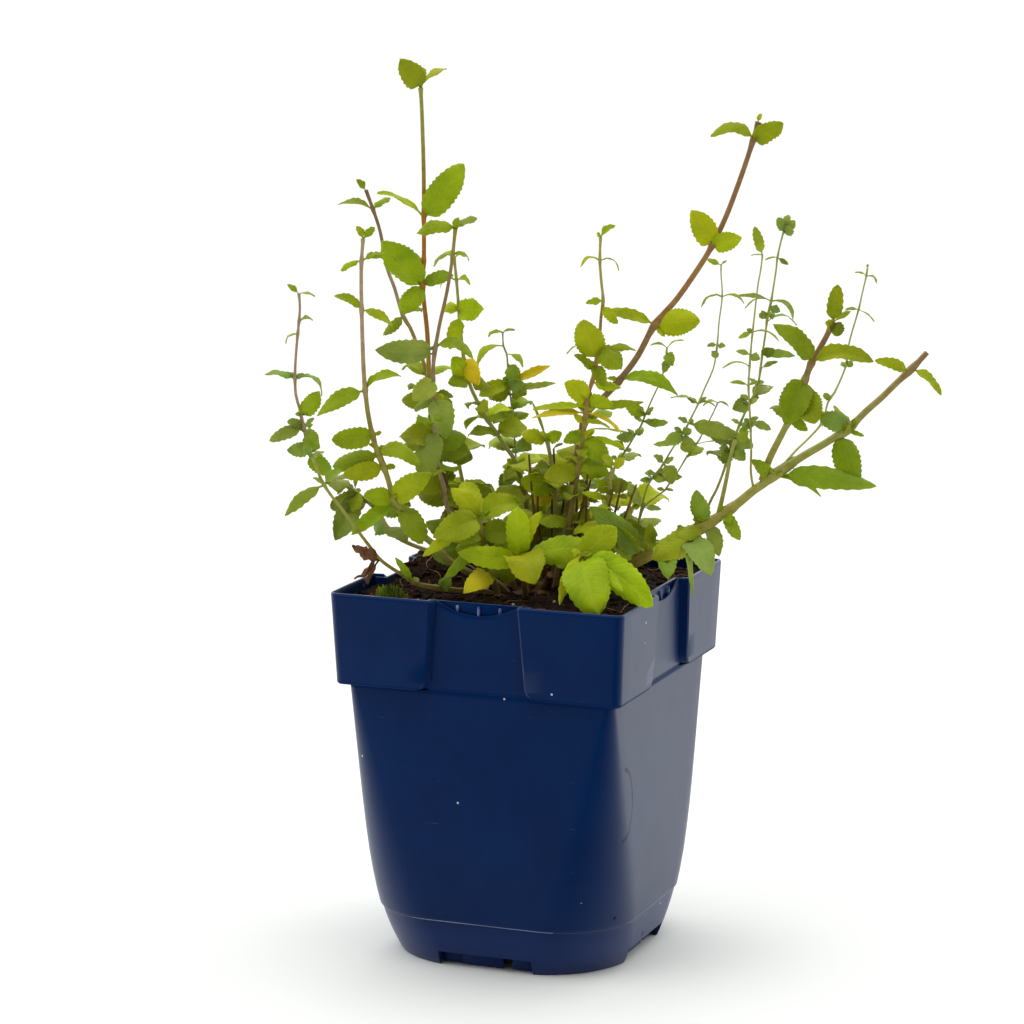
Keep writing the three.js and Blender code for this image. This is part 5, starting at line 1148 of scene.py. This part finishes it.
def colour_at(stops, height):
    """The stem's colour at a height, between its colour stops."""
    below = stops[0]
    for stop in stops:
        if height < stop[0]:
            share = (height - below[0]) / max(stop[0] - below[0], 0.001)
            return Vector(below[1]).lerp(Vector(stop[1]), min(max(share, 0.0), 1.0))
        below = stop
    return Vector(stops[-1][1])


def add_stem(bm, line, foot_radius, tip_radius, nodes, stops):
    """One stem along a line of points, swollen where its leaves stand."""
    tint = bm.verts.layers.float_color["tint"]

    def thickness(share):
        height = line[min(round(share * (len(line) - 1)), len(line) - 1)].z
        swell = max((math.exp(-((height - node) / 1.3) ** 2) for node in nodes), default=0.0)
        return mix(foot_radius, tip_radius, share ** 0.8) * (1 + 0.45 * swell)

    rings = strand_rings(line, thickness, 8, 0.10)
    closed = [[line[0]] * 8, *rings, [line[-1]] * 8]

    def colour_point(vert):
        vert[tint] = colour_at(stops, vert.co.z)

    loft(bm, closed, colour_point)


def blade_spread(share, tip):
    """Half the leaf's width, from 0 to 1, at a share of the blade's length. tip is 0.5 for a round
    end and 1 for a pointed one."""
    widest = 0.34
    if share < widest:
        return 0.2 + 0.8 * math.sqrt(1 - (1 - share / widest) ** 2)
    return (1 - ((share - widest) / (1 - widest)) ** 2.4) ** tip


# For leaves of at least a width: the teeth along each side, and the columns across.
leaf_detail = [(10, 10, 10), (6.5, 7, 6), (3.5, 5, 4), (0, 2, 2)]


def add_leaf(bm, foot, reach, width, bow, facing, colour, habit):
    """One leaf, as a thin sheet. habit is the random source for how it differs from the next."""
    tint = bm.verts.layers.float_color["tint"]
    blade = bm.verts.layers.float_vector["blade"]
    length = reach.length
    along = reach.normalized()
    face = Vector((0, -facing, 1 - abs(facing)))
    face = (face - along * face.dot(along)).normalized()
    face.rotate(Matrix.Rotation(habit.uniform(-0.3, 0.3), 3, along))
    side = along.cross(face)
    teeth, columns = next((count, across) for least, count, across in leaf_detail if width >= least)
    rows = 2 * teeth + 2
    stalk = 0.16 if length > 9 else 0.22
    stalk_half = min(0.45, width * 0.08)
    fold = habit.uniform(-0.35, 0.55)
    tip = habit.uniform(0.55, 0.9)
    twist = habit.uniform(-0.7, 0.7)
    cup = habit.uniform(-0.02, 0.14) * width
    sideways = habit.uniform(-0.07, 0.07) * length
    ripple = habit.uniform(0.04, 0.12) * width
    phase = habit.uniform(0, math.tau)
    hang = habit.uniform(0.0, 0.10) * length
    light = habit.uniform(0.82, 1.14)
    warmth = habit.uniform(0.9, 1.16)
    grid = bmesh.ops.create_grid(bm, x_segments=columns, y_segments=rows, size=1.0)["verts"]
    for number, vert in enumerate(grid):
        row, column = divmod(number, columns + 1)
        across = 2 * column / columns - 1
        share = 0.0 if row == 0 else (row - 1) / (rows - 1)
        whole = 0.0 if row == 0 else stalk + (1 - stalk) * share
        half = stalk_half
        if row > 1:
            tooth = 1.0 if row % 2 else 1 - min(0.19, 0.5 / width + 0.05)
            edge = tooth if abs(across) > 0.99 else 1.0
            half = max(blade_spread(share, tip) * width / 2 * edge, 0.12)
        out = abs(across)
        lobe = 0.16 * width * out * out * max(0.0, 1 - share / 0.38) if row > 0 else 0.0
        rise = 4 * bow * whole * (1 - whole) - hang * whole ** 3
        rise += fold * out * half + ripple * out * out * math.sin(share * 9.0 + phase + 2.2 * across)
        rise -= cup * out * out * out
        turned = twist * (whole - 0.5)
        over = side * math.cos(turned) + face * math.sin(turned)
        vert.co = foot + reach * whole + over * across * half + side * sideways * 4 * whole * (1 - whole)
        vert.co += face * rise - along * lobe
        vert[blade] = Vector((across, share, max(4, teeth - 1) / 10))
        vert[tint] = Vector((colour[0] * light * warmth, colour[1] * light, colour[2] * light, 1.0))
    bmesh.ops.remove_doubles(bm, verts=grid, dist=1e-3)


def shift_in(tree, colour, value, saturation, hue=0.5):
    """A colour made lighter or darker, more or less strong, and turned in hue."""
    return node_in(tree, "ShaderNodeHueSaturation", {
        "Color": colour, "Value": value, "Saturation": saturation, "Hue": hue,
    }).outputs["Color"]


catmint_stem, tree, shader = new_finish("catmint_stem", 0.6, 0.25)
tinted = node_in(tree, "ShaderNodeAttribute", attribute_name="tint").outputs["Color"]
shade = mottle_in(tree, 420.0, 2.4, grey(1.0), grey(0.0))
streaked = colour_mix(tree, shade.outputs["Color"], shift_in(tree, tinted, 0.7, 1.1, 0.48), tinted)
tree.links.new(streaked, shader.inputs["Base Color"])
bump_in(tree, shader, shade.outputs["Height"], 0.5, 0.0003)

catmint_leaf, tree, shader = new_finish("catmint_leaf", 0.6, 0.14)
shader.inputs["Subsurface Weight"].default_value = 0.3
shader.inputs["Subsurface Radius"].default_value = (0.95, 1.0, 0.15)
shader.inputs["Subsurface Scale"].default_value = 0.0015
tinted = node_in(tree, "ShaderNodeAttribute", attribute_name="tint").outputs["Color"]
on_blade = node_in(tree, "ShaderNodeAttribute", attribute_name="blade")
blade_axes = node_in(tree, "ShaderNodeSeparateXYZ", {"Vector": on_blade.outputs["Vector"]})
out_from_rib = maths(tree, "ABSOLUTE", blade_axes.outputs["X"])
slope = maths(tree, "MULTIPLY_ADD", noise_in(tree, place_in(tree), 260.0, 2.0), 0.14, 0.17)
slanted = maths(tree, "SUBTRACT", blade_axes.outputs["Y"], maths(tree, "MULTIPLY", out_from_rib, slope))
vein_count = maths(tree, "MULTIPLY", blade_axes.outputs["Z"], 10.0)
from_vein = maths(tree, "PINGPONG", maths(tree, "MULTIPLY", slanted, vein_count), 0.5)
side_vein = range_in(tree, from_vein, 0.02, 0.16, 1.0, 0.0)
rib = range_in(tree, out_from_rib, 0.03, 0.12, 1.0, 0.0)
veins = maths(tree, "MAXIMUM", side_vein, rib)
# Each leaf is blotched at random between its own colour and shadow_green, a darker and greener copy: painted
# shade and painted glow where light shines through, as well as the leaf's own patchy colour.
shade = mottle_in(tree, 95.0, 2.6, grey(1.0), grey(0.0))
shadow_green = shift_in(tree, tinted, 0.68, 1.05, 0.518)
blotched_light_and_shade = colour_mix(tree, shade.outputs["Color"], shadow_green, tinted)
paler = shift_in(tree, tinted, 1.25, 0.86)
veined = colour_mix(tree, maths(tree, "MULTIPLY", veins, 0.12), blotched_light_and_shade, paler)
tree.links.new(veined, shader.inputs["Base Color"])
puckers = node_in(tree, "ShaderNodeTexVoronoi", {"Vector": place_in(tree), "Scale": 1100.0})
relief = maths(tree, "SUBTRACT", maths(tree, "MULTIPLY", puckers.outputs["Distance"], 0.8), veins)
bump_in(tree, shader, relief, 0.3, 0.0003)


def leaf_sheets():
    """An empty shape for leaves, whose points hold a colour and their place on the blade."""
    shape = bmesh.new()
    shape.verts.layers.float_color.new("tint")
    shape.verts.layers.float_vector.new("blade")
    return shape


def point_at(line, height):
    return min(line, key=lambda point: abs(point.z - height))


leaflet_top = 205
stout_stem = 0.75
twigs_a_shoot = 5
growth_span = 65
leaf_thickness = 0.26
parts_of = {}
for name, foot_radius, tip_radius, route, leaves in stems:
    parts_of.setdefault(name, []).append((foot_radius, tip_radius, route, leaves))

for number, (name, parts) in enumerate(parts_of.items()):
    stem_shape = bmesh.new()
    stem_shape.verts.layers.float_color.new("tint")
    leaf_shape = leaf_sheets()
    habit = random.Random(100 + number)
    main_colour, other_colour = shoot_colours.get(name, inner_colours)
    for foot_radius, tip_radius, route, leaves in parts:
        line = curve_points([Vector(point) for point in route], 2.2)
        nodes = sorted({leaf[0] for leaf in leaves})
        build = slim_stem if name in slim_shoots else full_stem
        colours = stem_colours.get(name, plain_stem)
        add_stem(stem_shape, line, build * foot_radius, build * tip_radius, nodes, colours)
        for height, across, away, up, width, bow, facing in leaves:
            foot = point_at(line, height)
            blend = habit.random()
            colour = Vector(main_colour).lerp(Vector(other_colour), blend * blend)
            if (name, height) in turned_gold:
                colour = Vector(golden)
            width *= leaf_breadth.get(name, 1.0)
            add_leaf(leaf_shape, foot, Vector((across, away, up)), width, bow, facing, colour, habit)
        # Young leaflets in the angle between a leaf and its stem.
        for height in (node for node in nodes if node < leaflet_top and foot_radius > stout_stem):
            foot = point_at(line, height)
            for way in (-1, 1):
                reach = Vector((way * habit.uniform(1.5, 4), habit.uniform(-3, 2), habit.uniform(0.5, 3.5)))
                add_leaf(leaf_shape, foot, reach, habit.uniform(1.8, 3.2), 0.4, 0.5, main_colour, habit)
        # Last year's thin woody twigs, bare but for a few tiny leaves.
        for _ in range(twigs_a_shoot if name in inner_shoots else 0):
            lean = Vector((habit.uniform(-9, 9), habit.uniform(-7, 7), 0))
            base, top = line[0], line[-1]
            middle = base.lerp(top, 0.5) + lean * habit.uniform(0.4, 1.3)
            end = base.lerp(top, habit.uniform(0.75, 0.97)) + lean * 1.2
            twig_line = curve_points([base + lean * 0.3, middle, end], 3.0)
            add_stem(stem_shape, twig_line, 0.8, 0.4, [], twig_colours)
            for point in twig_line[4::3]:
                reach = Vector((habit.uniform(-5, 5), habit.uniform(-4, 3), habit.uniform(-1, 3)))
                add_leaf(leaf_shape, point, reach, habit.uniform(1.6, 3.0), 0.4, 0.5, deep, habit)
        # In the thick of the plant, pairs of leaves at every joint of the stem, each pair crosswise
        # to the next and smaller than the one below.
        if name in bushy_shoots:
            height = growth_foot + habit.uniform(0, 6)
            quarter = habit.uniform(0, math.pi)
            while height < min(line[-1].z - 4, bushy_shoots[name]):
                foot = point_at(line, height)
                grown = 1 - 0.45 * (height - growth_foot) / growth_span
                for half_turn in (0, math.pi):
                    angle = quarter + half_turn + habit.uniform(-0.35, 0.35)
                    size = habit.uniform(11, 18.5) * grown
                    reach = Vector((math.cos(angle), 0.8 * math.sin(angle), habit.uniform(-0.25, 0.3))) * size
                    shade = habit.random()
                    colour = Vector(main_colour).lerp(Vector(deep), shade * 0.8)
                    width = size * habit.uniform(0.55, 0.8)
                    facing = habit.uniform(0.2, 0.8)
                    add_leaf(leaf_shape, foot, reach, width, 0.12 * size, facing, colour, habit)
                quarter += math.pi / 2
                height += habit.uniform(7, 11)
    bmesh.ops.solidify(leaf_shape, geom=leaf_shape.faces, thickness=leaf_thickness)
    own_node = "shoot_" + name
    own_leaves = [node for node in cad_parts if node.startswith("leaf_" + name + "_")]
    finish_piece(stem_shape, name + "_stem", [own_node], catmint_stem, plant_turn, 70.0)
    finish_piece(leaf_shape, name + "_leaves", own_leaves, catmint_leaf, plant_turn, 60.0)


# ---- The dried leaf ----
# A dead leaf, curled and brittle, still hanging by the trailing shoot.

dry_shape = leaf_sheets()
dry_brown = paint(112, 76, 44)
habit = random.Random(77)
add_leaf(dry_shape, Vector((-54, -30, 146)), Vector((-9, -3, 6)), 4.6, 3.4, 0.8, dry_brown, habit)
add_leaf(dry_shape, Vector((-55, -29, 147)), Vector((-7, -4, -6)), 3.2, -2.4, 0.5, dry_brown, habit)
add_leaf(dry_shape, Vector((-54, -30, 146)), Vector((-4, -2, -8)), 2.4, 1.2, 0.7, dry_brown, habit)
for vert in dry_shape.verts:
    vert.co += Vector(noise.noise_vector(vert.co * 0.5)) * 1.3
bmesh.ops.solidify(dry_shape, geom=dry_shape.faces, thickness=0.24)
dry_colours = (300.0, 3.0, paint(128, 88, 54), paint(58, 38, 24))
dry_leaf = mottled_finish("dry_leaf", 0.85, 0.15, dry_colours, (0.7, 0.0006))
finish_piece(dry_shape, "curled_dried_leaf", ["dried_leaf"], dry_leaf, plant_turn, 60.0)
